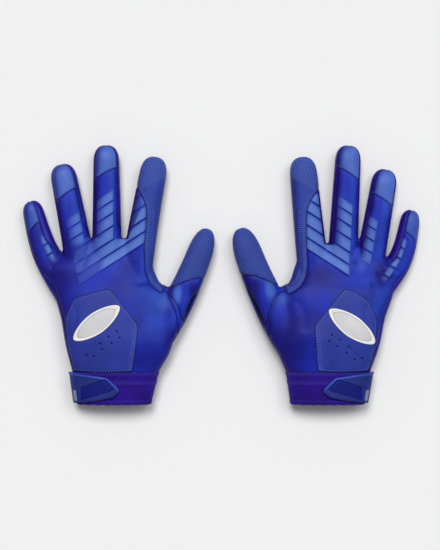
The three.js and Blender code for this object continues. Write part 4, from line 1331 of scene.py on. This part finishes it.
def blank_badge(side, surface):
    """The plain raised badge: a pointed oval with a rim, modelled flat and laid on the back."""
    pick_nothing()
    bpy.ops.mesh.primitive_circle_add(vertices=96, radius=1, fill_type="NGON")
    badge = bpy.context.object
    badge.name = f"{side} blank badge"
    points = read_points(badge)
    turn = np.arctan2(points[:, 1], points[:, 0])
    half_length, half_breadth = BADGE_RINGS[0][:2]
    points[:, 0] = half_length * round_power(np.cos(turn), BADGE_FULLNESS)
    points[:, 1] = half_breadth * round_power(np.sin(turn), BADGE_FULLNESS)
    write_points(badge, points)
    edit_all(badge)
    for (wide, deep, height), (next_wide, next_deep, next_height) in zip(BADGE_RINGS, BADGE_RINGS[1:]):
        bpy.ops.mesh.extrude_region_move(TRANSFORM_OT_translate={"value": (0, 0, next_height - height)})
        bpy.ops.transform.resize(value=(next_wide / wide, next_deep / deep, 1))
    close_edit()
    face_outwards(badge)
    along, across, height = read_points(badge).T
    rim = np.abs(along / half_length) ** BADGE_FULLNESS + np.abs(across / half_breadth) ** BADGE_FULLNESS
    middle = place(BADGE) + place(BADGE_SHIFT[side])
    x = middle[0] + along * math.cos(BADGE_TURN) - across * math.sin(BADGE_TURN)
    y = middle[1] + along * math.sin(BADGE_TURN) + across * math.cos(BADGE_TURN)
    ground = np.array([look_down(surface, *spot)[0].z for spot in zip(x, y)])
    write_points(badge, np.stack([x, y, ground + BADGE_RISE + height], 1))
    set_number(badge, "rim", rim)
    return badge


# Stitching
# Running stitches: how far apart and how long they are, and how thick the thread is
CAP_ROW = {"pitch": 2.1, "length": 1.45, "thickness": 0.36}
THUMB_ROW = {"pitch": 2.3, "length": 1.6, "thickness": 0.36}
PATCH_ROW = {"pitch": 2.4, "length": 1.6, "thickness": 0.36}
HEM_ROW = {"pitch": 2.4, "length": 1.7, "thickness": 0.36}
# The zigzags round the knit: lower and upper edge, height above the knit, the thread's radius
ZIGZAGS = [(25.0, 28.0, 0.12, 0.3), (17.1, 20.3, 0.06, 0.28)]
# Their pitch, and how sharply they turn, where 1 is a straight zigzag
ZIGZAG_PITCH, ZIGZAG_SHARPNESS = 2.56, 0.96
# The hem's seam lies this far up the cuff and above its knit.
HEM_ROW_UP, HEM_ROW_RISE = 3.3, 0.42
# Stitches go only where the surface is above this height and faces up, and no longer than this.
SEWN_FROM, LONGEST_STITCH = 7, 7


def stitch_form():
    """One visible stitch: a short plump thread, one millimetre long and thick."""
    pick_nothing()
    bpy.ops.mesh.primitive_uv_sphere_add(segments=6, ring_count=5, radius=0.5)
    form = bpy.context.object
    edit_all(form)
    bpy.ops.transform.rotate(value=math.pi / 2, orient_axis="Y", center_override=(0, 0, 0))
    close_edit()
    points, triangles = read_triangles(form)
    bpy.data.objects.remove(form)
    points[:, 0] = np.sign(points[:, 0]) * np.abs(points[:, 0] * 2) ** 0.6 / 2
    return points, triangles


STITCH = stitch_form()


def lay_stitches(ends, normals, thickness):
    """Copies of the stitch between pairs of ends, half sunk in the surface."""
    form, triangles = STITCH
    ends, normals = np.asarray(ends, float), np.asarray(normals, float)
    along = ends[:, 1] - ends[:, 0]
    length = np.linalg.norm(along, axis=1, keepdims=True)
    along = along / length
    across = np.cross(normals, along)
    across /= np.linalg.norm(across, axis=1, keepdims=True)
    up = np.cross(along, across)
    middle = ends.mean(1) + up * thickness * 0.12
    points = (
        middle[:, None]
        + form[None, :, 0, None] * (along * length)[:, None]
        + form[None, :, 1, None] * across[:, None] * thickness
        + form[None, :, 2, None] * up[:, None] * thickness
    )
    count = len(form)
    faces = triangles[None] + count * np.arange(len(ends))[:, None, None]
    return points.reshape(-1, 3), faces.reshape(-1, 3)


class Sewing:
    """Gathers the thread of one glove."""

    def __init__(self, surface):
        self.surface = surface
        self.points, self.faces, self.count = [], [], 0

    def add(self, points, faces):
        self.points.append(points)
        self.faces.append(faces + self.count)
        self.count += len(points)

    def ground(self, spot):
        hit, normal = look_down(self.surface, *spot)
        return (hit, normal) if hit is not None and hit.z > SEWN_FROM else (None, None)

    def lay(self, starts, ends, thickness):
        kept, normals = [], []
        for start, end in zip(starts, ends):
            (a, na), (b, nb) = self.ground(start), self.ground(end)
            if a is not None and b is not None and (a - b).length < LONGEST_STITCH and na.z > 0.25:
                kept.append((tuple(a), tuple(b)))
                normals.append(tuple((na + nb) / 2))
        if kept:
            self.add(*lay_stitches(kept, normals, thickness))

    def row(self, line, pitch, length, thickness, offset=0.0):
        """A running stitch beside a line."""
        spots, way = walk(line, pitch, offset)
        self.lay(spots - way * length / 2, spots + way * length / 2, thickness)

    def ladder(self, line, near, far, pitch=1.75, thickness=0.34):
        """Stitches across a line, like rungs."""
        spots, way = walk(line, pitch)
        side = right_of(way)
        self.lay(spots + side * near, spots + side * far, thickness)

    def cuff_row(self, wrap, path, height, pitch, length, thickness):
        """A running stitch on the cuff."""
        spots, way = walk(path, pitch)
        flat = np.full((len(spots), 1), height)
        ends = [wrap.bend(np.hstack([spots + way * step, flat])) for step in (-length / 2, length / 2)]
        out = wrap.bend(np.hstack([spots, flat + 1])) - wrap.bend(np.hstack([spots, flat]))
        self.add(*lay_stitches(np.stack(ends, 1), out, thickness))

    def zigzag(self, wrap, low, high, height, radius):
        """A zigzag of thread round the knit."""
        start, end = slit_ends(wrap)
        at = np.linspace(start + 1, end - 1, int((end - start) / ZIGZAG_PITCH) * 10)
        wave = np.arcsin(ZIGZAG_SHARPNESS * np.sin(2 * np.pi * at / ZIGZAG_PITCH))
        up = (low + high) / 2 + wave / math.asin(ZIGZAG_SHARPNESS) * (high - low) / 2
        path = np.stack([at, up, np.full(len(at), height)], 1)
        way = np.gradient(path, axis=0)
        way /= np.linalg.norm(way, axis=1, keepdims=True)
        across = np.stack([-way[:, 1], way[:, 0], np.zeros(len(at))], 1)
        turn = 2 * np.pi * np.arange(6)[:, None] / 6
        rings = [
            p + radius * (np.cos(turn) * side + np.sin(turn) * np.array([0, 0, 1]))
            for p, side in zip(path, across)
        ]
        points, faces = tube([ring[::-1] for ring in rings])
        fans = [(face[0], face[k], face[k + 1]) for face in faces for k in range(1, len(face) - 1)]
        self.add(wrap.bend(points), np.array(fans))

    def finish(self, name):
        threads = quick_piece(name, np.concatenate(self.points), np.concatenate(self.faces))
        face_outwards(threads)
        return threads


def sew_threads(side, seams, surface, patch_surface, outline, wrap):
    """All the visible thread of one glove: on its seams, round its cuff and on its patch."""
    sewing = Sewing(surface)
    for finger in CAPPED:
        ulnar, thumbward = CAP_LENGTH[finger][2:]
        share = np.linspace(0.02, 0.98, 9)
        places = zip(cap_edge(finger, share) - 1.1, -ulnar + (ulnar + thumbward) * share)
        sewing.row([seams.stalls[finger].beside(back, across) for back, across in places], **CAP_ROW)
    index_line = seams.index_line[:-1]
    sewing.ladder(index_line[1:], -1.0, -3.8)
    sewing.ladder(index_line[3:], -4.6, -7.2)
    sewing.row(index_line[:4], offset=-1.0, **CAP_ROW)
    sewing.row(seams.from_web(THUMB_LEATHER[side][1:-1]), offset=-1.0, **CAP_ROW)
    seam_threads = sewing.finish(f"{side} seam thread")
    sewing = Sewing(surface)
    sewing.row(seams.from_web(THUMB_SEAM[side][3:-1]), offset=1.0, **THUMB_ROW)
    sewing.row(seams.from_web(BASE_SEAM[side]), offset=1.0, **THUMB_ROW)
    for zigzag in ZIGZAGS:
        sewing.zigzag(wrap, *zigzag)
    start, end = slit_ends(wrap)
    hem = [(x, HEM_ROW_UP) for x in (start + 1, (start + end) / 2, end - 1)]
    sewing.cuff_row(wrap, hem, HEM_ROW_RISE, **HEM_ROW)
    cuff_threads = sewing.finish(f"{side} cuff thread")
    sewing = Sewing(patch_surface)
    sewing.row(np.vstack([outline, outline[:1]]), offset=PATCH_SEWN, **PATCH_ROW)
    right = place(PATCH[side])[1:5]
    sewing.ladder(right[1:], 1.0, 5.0, pitch=2.1)
    sewing.ladder(right[:2], 1.0, 2.6, pitch=2.1, thickness=0.3)
    return seam_threads, cuff_threads, sewing.finish(f"{side} patch thread")


# Making it one pair
def shift_of(side):
    """Where the hem's middle lies in the pair, in millimetres, and which way X runs."""
    low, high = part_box(f"{side}_knit_cuff")
    middle = (low.x + high.x) / 2 * 1000
    turn = 1 if side == "left" else -1
    return turn, middle - turn * wrist(side)[0], low.y * 1000


def settle(piece, side, node, body, finish, stands_for=True, smooth=50):
    """Moves a piece from the glove's frame to the pair's and hands it to the frame."""
    turn, x, y = shift_of(side)
    points = read_points(piece) * (turn, 1, 1) + (x, y, 0)
    write_points(piece, points / 1000)
    if turn < 0:
        piece.data.flip_normals()
    smooth_shading(piece, smooth)
    piece.data.materials.clear()
    piece.data.materials.append(finish)
    piece.name = piece.data.name = f"{side}_{node}_sewn"
    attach(piece, body)
    if stands_for:
        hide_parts(f"{side}_{node}")


# Finishes
# The way that the light comes from; finishes paint light and shade into their colours by how a surface faces
# it
TOWARDS_LIGHT = (0.34, 0.12, 0.93)


class Nodes:
    """A node tree that is being filled."""

    def __init__(self, tree):
        self.tree = tree

    def put(self, kind, inputs=(), output=0, **settings):
        """Adds a node, sets and links its inputs, and gives one of its outputs."""
        made = self.tree.nodes.new("ShaderNode" + kind)
        for key, value in settings.items():
            setattr(made, key, value)
        for key, value in dict(inputs).items():
            socket = made.inputs[key]
            if isinstance(value, bpy.types.NodeSocket):
                self.tree.links.new(value, socket)
            elif socket.type == "RGBA":
                socket.default_value = (*value, 1)
            else:
                socket.default_value = value
        return made.outputs[output]

    def group(self, shared, **inputs):
        """Places a shared group and gives all its outputs."""
        return tuple(self.put("Group", inputs, node_tree=shared).node.outputs)

    def maths(self, operation, *values):
        return self.put("Math", dict(enumerate(values)), operation=operation)

    def times(self, *values):
        return self.maths("MULTIPLY", *values)

    def plus(self, *values):
        return self.maths("ADD", *values)

    def from_half(self, value):
        """How far a value's fraction is from a half."""
        return self.maths("ABSOLUTE", self.maths("SUBTRACT", self.maths("FRACT", value), 0.5))

    def ramp(self, value, start, end, low=0.0, high=1.0):
        """A soft change from low to high between two values."""
        inputs = {"Value": value, "From Min": start, "From Max": end, "To Min": low, "To Max": high}
        return self.put("MapRange", inputs, interpolation_type="SMOOTHSTEP")

    def blend(self, share, first, second):
        return self.put("Mix", {0: share, 6: first, 7: second}, 2, data_type="RGBA")

    def shade(self, colour, amount):
        """A colour made lighter or darker by an amount that changes over the surface."""
        amount = self.put("CombineColor", {0: amount, 1: amount, 2: amount})
        return self.put("Mix", {0: 1.0, 6: colour, 7: amount}, 2, data_type="RGBA", blend_type="MULTIPLY")

    def attribute(self, name):
        return self.put("Attribute", output="Fac", attribute_name=name)

    def split(self, vector):
        return tuple(self.put("SeparateXYZ", {0: vector}).node.outputs)


def build_grain(nodes, spot, scale):
    fine = nodes.put("TexNoise", {"Vector": spot, "Scale": scale, "Detail": 3.0})
    pores = nodes.put("TexVoronoi", {"Vector": spot, "Scale": scale}, "Distance")
    patches = nodes.put("TexNoise", {"Vector": spot, "Scale": 55.0, "Detail": 2.0})
    return nodes.plus(nodes.times(fine, 0.6), nodes.times(pores, 0.4)), patches


def build_weave(nodes, spot, pitch):
    """Fine threads crossing at right angles, with a diagonal float over them."""
    x, y, z = nodes.split(spot)
    turn = nodes.maths("DIVIDE", 2 * math.pi, pitch)
    over = nodes.times(nodes.plus(x, z), turn)
    along = nodes.times(nodes.maths("SUBTRACT", y, z), turn)
    threads = nodes.times(nodes.maths("SINE", over), nodes.maths("SINE", along))
    float_over = nodes.maths("SINE", nodes.plus(over, along))
    return (nodes.plus(nodes.plus(nodes.times(threads, 0.3), nodes.times(float_over, 0.2)), 0.5),)


def build_dashes(nodes, flat, wide, long):
    """Rows of short raised dashes, each row moved on from the one before."""
    across, along, _ = nodes.split(flat)
    column = nodes.maths("DIVIDE", across, wide)
    moved = nodes.times(nodes.maths("FLOOR", column), 0.618)
    from_column = nodes.from_half(column)
    from_middle = nodes.from_half(nodes.plus(nodes.maths("DIVIDE", along, long), moved))
    return (nodes.times(nodes.ramp(from_column, 0.4, 0.2), nodes.ramp(from_middle, 0.45, 0.33)),)


def build_seam_shade(nodes, distance):
    """The dark line in a seam, partly its own dark join and partly painted shade in its groove, and the
    softer painted shade beside it.
    """
    beside = nodes.ramp(distance, 2.2, 0.5, 0.0, 0.28)
    return (nodes.maths("MAXIMUM", nodes.ramp(distance, 0.6, 0.2), beside),)


def build_strips(nodes, phase, field):
    """The lighter face of each raised strip, its own colour with a painted highlight that fades up the strip,
    and the painted shadow line under its lower edge.
    """
    share = nodes.maths("FRACT", phase)
    face = nodes.times(nodes.ramp(share, 0.1, 0.2), nodes.ramp(share, 1.02, 0.6, 0.5, 1.0))
    line = nodes.maths("MAXIMUM", nodes.ramp(share, 0.11, 0.06), nodes.ramp(share, 0.97, 1.0))
    return nodes.times(face, field), nodes.times(line, field)


def build_knit(nodes, flat, wide, tall):
    """Ribs of knitted loops, each leaning in to its rib's middle."""
    around, up, _ = nodes.split(flat)
    from_middle = nodes.from_half(nodes.maths("DIVIDE", around, wide))
    course = nodes.plus(nodes.maths("DIVIDE", up, tall), nodes.times(from_middle, 1.4))
    loop = nodes.maths("ABSOLUTE", nodes.maths("SINE", nodes.times(course, math.pi)))
    return (nodes.times(loop, nodes.ramp(from_middle, 0.5, 0.3)),)


def shared_group(name, build, outputs, **inputs):
    """A node group that several finishes use, with its inputs' kinds."""
    group = bpy.data.node_groups.new(name, "ShaderNodeTree")
    for label, kind in inputs.items():
        group.interface.new_socket(name=label, in_out="INPUT", socket_type="NodeSocket" + kind)
    for label in outputs:
        group.interface.new_socket(name=label, in_out="OUTPUT", socket_type="NodeSocketFloat")
    way_in, way_out = group.nodes.new("NodeGroupInput"), group.nodes.new("NodeGroupOutput")
    for label, value in zip(outputs, build(Nodes(group), *way_in.outputs[: len(inputs)])):
        group.links.new(value, way_out.inputs[label])
    return group


GRAIN = shared_group("fine grain", build_grain, ["Height", "Patches"], Place="Vector", Scale="Float")
WEAVE = shared_group("satin weave", build_weave, ["Height"], Place="Vector", Pitch="Float")
DASHES = shared_group("rows of dashes", build_dashes, ["Mask"], Flat="Vector", Wide="Float", Long="Float")
SEAM_SHADE = shared_group("seam shade", build_seam_shade, ["Shade"], Distance="Float")
STRIPS = shared_group("raised strips", build_strips, ["Face", "Line"], Phase="Float", Field="Float")
KNIT = shared_group("knitted ribs", build_knit, ["Loop"], Flat="Vector", Wide="Float", Tall="Float")


class Finish(Nodes):
    """A material being made: its tree, its shader and the places that its patterns read."""

    def __init__(self, name, roughness=0.6, specular=0.3, tint=(1, 1, 1), sheen=0.0, sheen_tint=(1, 1, 1)):
        self.material = bpy.data.materials.new(name)
        self.material.use_nodes = True
        super().__init__(self.material.node_tree)
        self.shader = self.tree.nodes["Principled BSDF"]
        values = {"Roughness": roughness, "Specular IOR Level": specular, "Specular Tint": (*tint, 1)}
        values |= {"Sheen Weight": sheen, "Sheen Roughness": 0.45, "Sheen Tint": (*sheen_tint, 1)}
        for key, value in values.items():
            self.shader.inputs[key].default_value = value
        self.place = self.put("TexCoord", output="Object")
        normal = self.put("NewGeometry", output="Normal")
        # How squarely the surface faces the light, used to paint light and shade into colours
        self.painted_light_facing = self.put("VectorMath", {0: normal, 1: TOWARDS_LIGHT}, "Value", operation="DOT_PRODUCT")

    def grain(self, scale):
        return self.group(GRAIN, Place=self.place, Scale=scale)

    def weave(self, pitch):
        return self.group(WEAVE, Place=self.place, Pitch=pitch)[0]

    def flat(self):
        return self.put("UVMap", uv_map="Sewn")

    def mottle(self, colour, patches, low, high):
        """Broad patches that are a little darker and lighter."""
        return self.shade(colour, self.ramp(patches, 0.3, 0.7, low, high))

    def darken_seams(self, colour):
        # The seams' own dark joins, with painted shade in and beside their grooves
        (seam,) = self.group(SEAM_SHADE, Distance=self.attribute("seam"))
        return self.shade(colour, self.ramp(seam, 0.0, 1.0, 1.0, 0.3))

    def finish(self, colour, bumps=(), roughness=None):
        """Links the colour and lays bumps, each a height and a distance in millimetres, on each other."""
        inputs = self.shader.inputs
        if isinstance(colour, tuple):
            inputs["Base Color"].default_value = (*colour, 1)
        else:
            self.tree.links.new(colour, inputs["Base Color"])
        if roughness is not None:
            self.tree.links.new(roughness, inputs["Roughness"])
        below = {}
        for height, distance in bumps:
            normal = self.put("Bump", {"Height": height, "Distance": distance / 1000} | below, "Normal")
            below = {"Normal": normal}
        if below:
            self.tree.links.new(normal, inputs["Normal"])
        return self.material


def satin_finish(name, top, edge, strip=None, line=None):
    """Stretch satin, with painted violet shade where it turns away from the light, painted highlights where
    it faces it, and its lighter raised strips where it has them.
    """
    made = Finish(name, 0.36, 0.24, (0.4, 0.45, 1), 0.1, (0.2, 0.2, 1))
    grain, patches = made.grain(2600.0)
    # Painted shade where the satin turns away from the light, and a painted highlight where it faces it
    # squarely
    colour = made.blend(made.ramp(made.painted_light_facing, 0.42, 1.02), edge, top)
    colour = made.blend(made.ramp(made.painted_light_facing, 0.93, 1.0, 0.0, 0.3), colour, PAINTED_SATIN_HIGHLIGHT)
    # Painted lights and shades from the satin's folds and sheen
    painted_shading = made.attribute("painted_shading")
    colour = made.blend(made.ramp(painted_shading, 0.0, 0.9), colour, PAINTED_SATIN_HIGHLIGHT)
    colour = made.blend(made.ramp(painted_shading, 0.0, -0.9), colour, PAINTED_SATIN_SHADE)
    colour = made.mottle(colour, patches, 0.84, 1.14)
    bumps = [(made.weave(0.00055), 0.03), (grain, 0.02)]
    if strip:
        reads = {"Phase": made.attribute("phase"), "Field": made.attribute("field")}
        # The strips' own lighter colour with painted highlight, and a painted shadow line under each
        strip_face, strip_line = made.group(STRIPS, **reads)
        colour = made.blend(strip_face, colour, strip)
        colour = made.blend(strip_line, colour, line)
        bumps.append((strip_face, 0.15))
    colour = made.darken_seams(colour)
    # Painted shadow in the open seam on the thumb's foot
    colour = made.shade(colour, made.ramp(made.attribute("open_seam"), 0.1, 0.7, 1.0, 0.04))
    return made.finish(colour, bumps, made.ramp(patches, 0.3, 0.7, 0.33, 0.42))


def leather_finish(name, base, edge, dash=None, roughness=(0.48, 0.6), scale=1500.0, turn=(0.2, 0.97)):
    """Thin leather: grain, painted light and shade by how it faces the light, broad patches a little darker
    and lighter, and rows of dashes where it is embossed.
    """
    made = Finish(name, 0.55, 0.3, (0.6, 0.65, 1), 0.1, (0.3, 0.35, 1))
    grain, patches = made.grain(scale)
    # Painted light and shade: the base colour where the leather faces the light, the edge colour where it
    # turns away
    colour = made.blend(made.ramp(made.painted_light_facing, *turn), edge, base)
    colour = made.mottle(colour, patches, 0.88, 1.1)
    colour = made.shade(colour, made.ramp(grain, 0.2, 0.6, 0.93, 1.05))
    bumps = [(grain, 0.12)]
    if dash:
        (mask,) = made.group(DASHES, Flat=made.flat(), Wide=0.125, Long=0.36)
        mask = made.times(mask, made.attribute("emboss"))
        colour = made.blend(mask, colour, dash)
        bumps.append((mask, 0.25))
    return made.finish(made.darken_seams(colour), bumps, made.ramp(grain, 0.2, 0.7, *roughness))


def knit_finish(name, base, deep, wide, tall):
    made = Finish(name, 0.75, 0.2, (0.6, 0.5, 1), 0.3, (0.25, 0.15, 1))
    (loop,) = made.group(KNIT, Flat=made.flat(), Wide=wide, Tall=tall)
    grain, patches = made.grain(3000.0)
    # Painted shade: the deep colour in the hollows between the loops, the base colour on them
    colour = made.blend(made.ramp(loop, 0.0, 0.8), deep, base)
    return made.finish(made.mottle(colour, patches, 0.8, 1.2), [(loop, 0.25), (grain, 0.05)])


def moulded_finish(name, base, rim, well):
    """Moulded rubber: satin faces, glossier on the rim and painted lighter there as a highlight, dark in the
    recess.
    """
    made = Finish(name, 0.42, 0.26, (0.6, 0.68, 1))
    grain, patches = made.grain(1800.0)
    on_rim = made.attribute("rim")
    # The rim's lighter colour is a painted highlight
    colour = made.blend(made.attribute("well"), made.blend(on_rim, base, rim), well)
    rough = made.ramp(made.plus(on_rim, made.times(grain, 0.3)), 0, 1.3, 0.5, 0.3)
    return made.finish(made.mottle(colour, patches, 0.88, 1.1), [(grain, 0.05)], rough)


def pile_finish(name, base, light, scale):
    """Short pile: loops or hooks standing up from a woven ground."""
    made = Finish(name, 0.8, 0.15, (0.6, 0.6, 1), 0.3, (0.4, 0.4, 1))
    cells = made.put("TexVoronoi", {"Vector": made.place, "Scale": scale}, "Distance")
    return made.finish(made.blend(made.ramp(cells, 0.1, 0.55), light, base), [(cells, -0.3)])


def cloth_finish(name, base, light, pitch):
    """Plain woven tape or twisted thread."""
    made = Finish(name, 0.7, 0.2, (0.8, 0.8, 1), 0.2)
    height = made.weave(pitch)
    _, patches = made.grain(900.0)
    colour = made.blend(made.ramp(height, 0.2, 0.8), base, light)
    return made.finish(made.mottle(colour, patches, 0.9, 1.06), [(height, 0.12)])


def badge_finish(name, rim, field):
    """White enamel rim round a pale field, with painted shade in the corner where they meet."""
    made = Finish(name, 0.35, 0.5)
    grain, patches = made.grain(700.0)
    share = made.attribute("rim")
    colour = made.blend(made.ramp(share, 0.7, 0.74), field, rim)
    # Painted shade in the corner at the foot of the rim
    corner = made.times(made.ramp(share, 0.62, 0.7), made.ramp(share, 0.76, 0.72))
    colour = made.mottle(made.shade(colour, made.ramp(corner, 0, 1, 1.0, 0.72)), patches, 0.95, 1.03)
    return made.finish(colour, [(grain, 0.03)], made.ramp(grain, 0.2, 0.7, 0.3, 0.45))


# The satin's own blue, its painted shade where it turns away from the light, and its painted highlight and
# shade
SATIN, PAINTED_SATIN_TURNED_SHADE = (0.01, 0.024, 0.375), (0.016, 0.003, 0.14)
PAINTED_SATIN_HIGHLIGHT, PAINTED_SATIN_SHADE = (0.044, 0.112, 0.48), (0.01, 0.008, 0.16)
# Smooth cap leather's roughness, grain scale, and the range over which its painted shade turns into its lit
# colour
SMOOTH_LEATHER = {"roughness": (0.32, 0.42), "scale": 2200.0, "turn": (0.5, 1.0)}
finishes = {
    # Satin: its strips' lighter colour, with painted highlight, and the painted shadow line under each
    "stretch_fabric": satin_finish("satin stretch", SATIN, PAINTED_SATIN_TURNED_SHADE, (0.092, 0.178, 0.53), (0.006, 0.012, 0.2)),
    "palm_leather": leather_finish(
        "embossed leather", (0.022, 0.048, 0.31), (0.012, 0.012, 0.17), (0.07, 0.12, 0.46)
    ),
    "gusset_fabric": satin_finish("gusset stretch", (0.02, 0.007, 0.28), (0.014, 0.004, 0.17)),
    "thumb_wrap": leather_finish(
        "thumb leather", (0.018, 0.038, 0.27), (0.01, 0.01, 0.15), (0.055, 0.095, 0.4)
    ),
    "cap_leather": leather_finish(
        "cap leather", (0.068, 0.137, 0.52), (0.014, 0.024, 0.24), **SMOOTH_LEATHER
    ),
    # The little finger's cap is a darker copy of the cap leather: painted shade
    "little_fingertip_cap": leather_finish(
        "shaded cap leather", (0.04, 0.085, 0.42), (0.01, 0.016, 0.19), **SMOOTH_LEATHER
    ),
    "patch_skin": leather_finish(
        "patch skin", (0.021, 0.038, 0.29), (0.012, 0.012, 0.18), roughness=(0.45, 0.58), scale=1100.0
    ),
    "badge_skin": badge_finish("plain enamel", (0.84, 0.83, 0.82), (0.6, 0.6, 0.62)),
    "cuff_knit": knit_finish("cuff knit", (0.03, 0.008, 0.3), (0.008, 0.002, 0.11), 0.175, 0.12),
    "elastic": knit_finish("wrist elastic", (0.03, 0.02, 0.28), (0.01, 0.006, 0.12), 0.1, 0.1),
    "moulded_tab": moulded_finish(
        "moulded rubber", (0.013, 0.024, 0.18), (0.026, 0.058, 0.39), (0.002, 0.006, 0.16)
    ),
    "loop_pile": pile_finish("loop pile", (0.012, 0.01, 0.1), (0.03, 0.03, 0.2), 1400.0),
    "hook_pile": pile_finish("hook pins", (0.01, 0.012, 0.09), (0.05, 0.06, 0.22), 900.0),
    "tag_fabric": cloth_finish("tag tape", (0.15, 0.155, 0.29), (0.25, 0.26, 0.4), 0.0009),
    "thread": cloth_finish("sewing thread", (0.09, 0.14, 0.52), (0.14, 0.2, 0.66), 0.0005),
    "dark_thread": cloth_finish("violet thread", (0.03, 0.014, 0.29), (0.05, 0.028, 0.38), 0.0005),
}
SLOT_PANELS = {
    "palm_leather": ["palm_panel", "index_finger_wrap", "thumb_wrap", "thumb_palm_panel"],
    "stretch_fabric": ["back_panel", "thumb_back_panel"],
    "gusset_fabric": ["edge_gusset", "little_ring_gusset", "ring_middle_gusset", "middle_index_gusset"],
    "cap_leather": ["little_fingertip_cap", "ring_fingertip_cap", "middle_fingertip_cap"],
}
PANEL_SLOT = {panel: slot for slot, panels in SLOT_PANELS.items() for panel in panels}


def dress_glove(side):
    """Makes all the pieces of one glove and hands them to the frame."""
    panels, points, triangles, name, seams = build_glove_panels(side)
    surface = BVHTree.FromPolygons(points.tolist(), triangles[name != ""].tolist())
    patch, outline = back_patch(side, points, triangles, name)
    patch_surface = BVHTree.FromPolygons(*(array.tolist() for array in read_triangles(patch)))
    badge = blank_badge(side, surface)
    wrap = CuffWrap(side)
    threads = sew_threads(side, seams, surface, patch_surface, outline, wrap)
    strap = closure(side, wrap)
    for panel, piece in panels.items():
        thicken(piece, PANEL_WALL)
        slot = PANEL_SLOT[panel]
        settle(piece, side, panel, "gloves", finishes.get(panel, finishes[slot]))
    settle(patch, side, "back_patch", "gloves", finishes["patch_skin"])
    settle(badge, side, "blank_badge", "gloves", finishes["badge_skin"], smooth=60)
    settle(knit_cuff(side, wrap), side, "knit_cuff", "gloves", finishes["cuff_knit"])
    settle(wrist_elastic(side, wrap), side, "wrist_elastic", "gloves", finishes["elastic"])
    for piece, node, slot, finish in zip(
        threads,
        ("seam_thread", "cuff_thread", "patch_thread"),
        ("stretch_fabric", "cuff_knit", "stretch_fabric"),
        ("thread", "dark_thread", "thread"),
    ):
        settle(piece, side, node, "gloves", finishes[finish], stands_for=False)
    for node, body, slot, finish in (
        ("strap_anchor", "gloves", "moulded_tab", "moulded_tab"),
        ("closure_tab", side + "_tab", "moulded_tab", "moulded_tab"),
        ("loop_pad", "gloves", "hook_and_loop", "loop_pile"),
        ("hook_pad", side + "_tab", "hook_and_loop", "hook_pile"),
        ("end_tag", "gloves", "tag_fabric", "tag_fabric"),
    ):
        settle(strap[node], side, node, body, finishes[finish])


for side in ("left", "right"):
    dress_glove(side)

# Floor, light and camera
# Each sun's strength, its spread, and its turns about X and Y in degrees
SUNS = [(1.88, 24, -27, -7), (0.8, 30, -20, 24)]
SKY_STRENGTH = 0.25
CAMERA_PLACE, CAMERA_LENS, SENSOR_WIDTH = (-0.0012, 0.0006, 1.316), 100, 36

pick_nothing()
bpy.ops.mesh.primitive_plane_add(size=6, location=(0, 0, 0))
floor = bpy.context.object
floor.name = "floor"
floor.data.materials.append(Finish("pale floor", 0.9, 0.0).finish((0.88, 0.88, 0.88)))

world = bpy.data.worlds.new("studio")
world.use_nodes = True
world.node_tree.nodes["Background"].inputs["Color"].default_value = (1, 1, 1, 1)
world.node_tree.nodes["Background"].inputs["Strength"].default_value = SKY_STRENGTH
bpy.context.scene.world = world
bpy.context.scene.view_settings.view_transform = "Standard"

for energy, spread, lean, turn in SUNS:
    pick_nothing()
    rotation = (math.radians(lean), math.radians(turn), 0)
    bpy.ops.object.light_add(type="SUN", location=(0, 0, 1), rotation=rotation)
    sun = bpy.context.object
    sun.data.energy = energy
    sun.data.angle = math.radians(spread)

bpy.ops.object.camera_add(location=CAMERA_PLACE, rotation=(0, 0, 0))
camera = bpy.context.object
camera.data.lens = CAMERA_LENS
camera.data.sensor_width = SENSOR_WIDTH
camera.data.clip_end = 10
bpy.context.scene.camera = camera
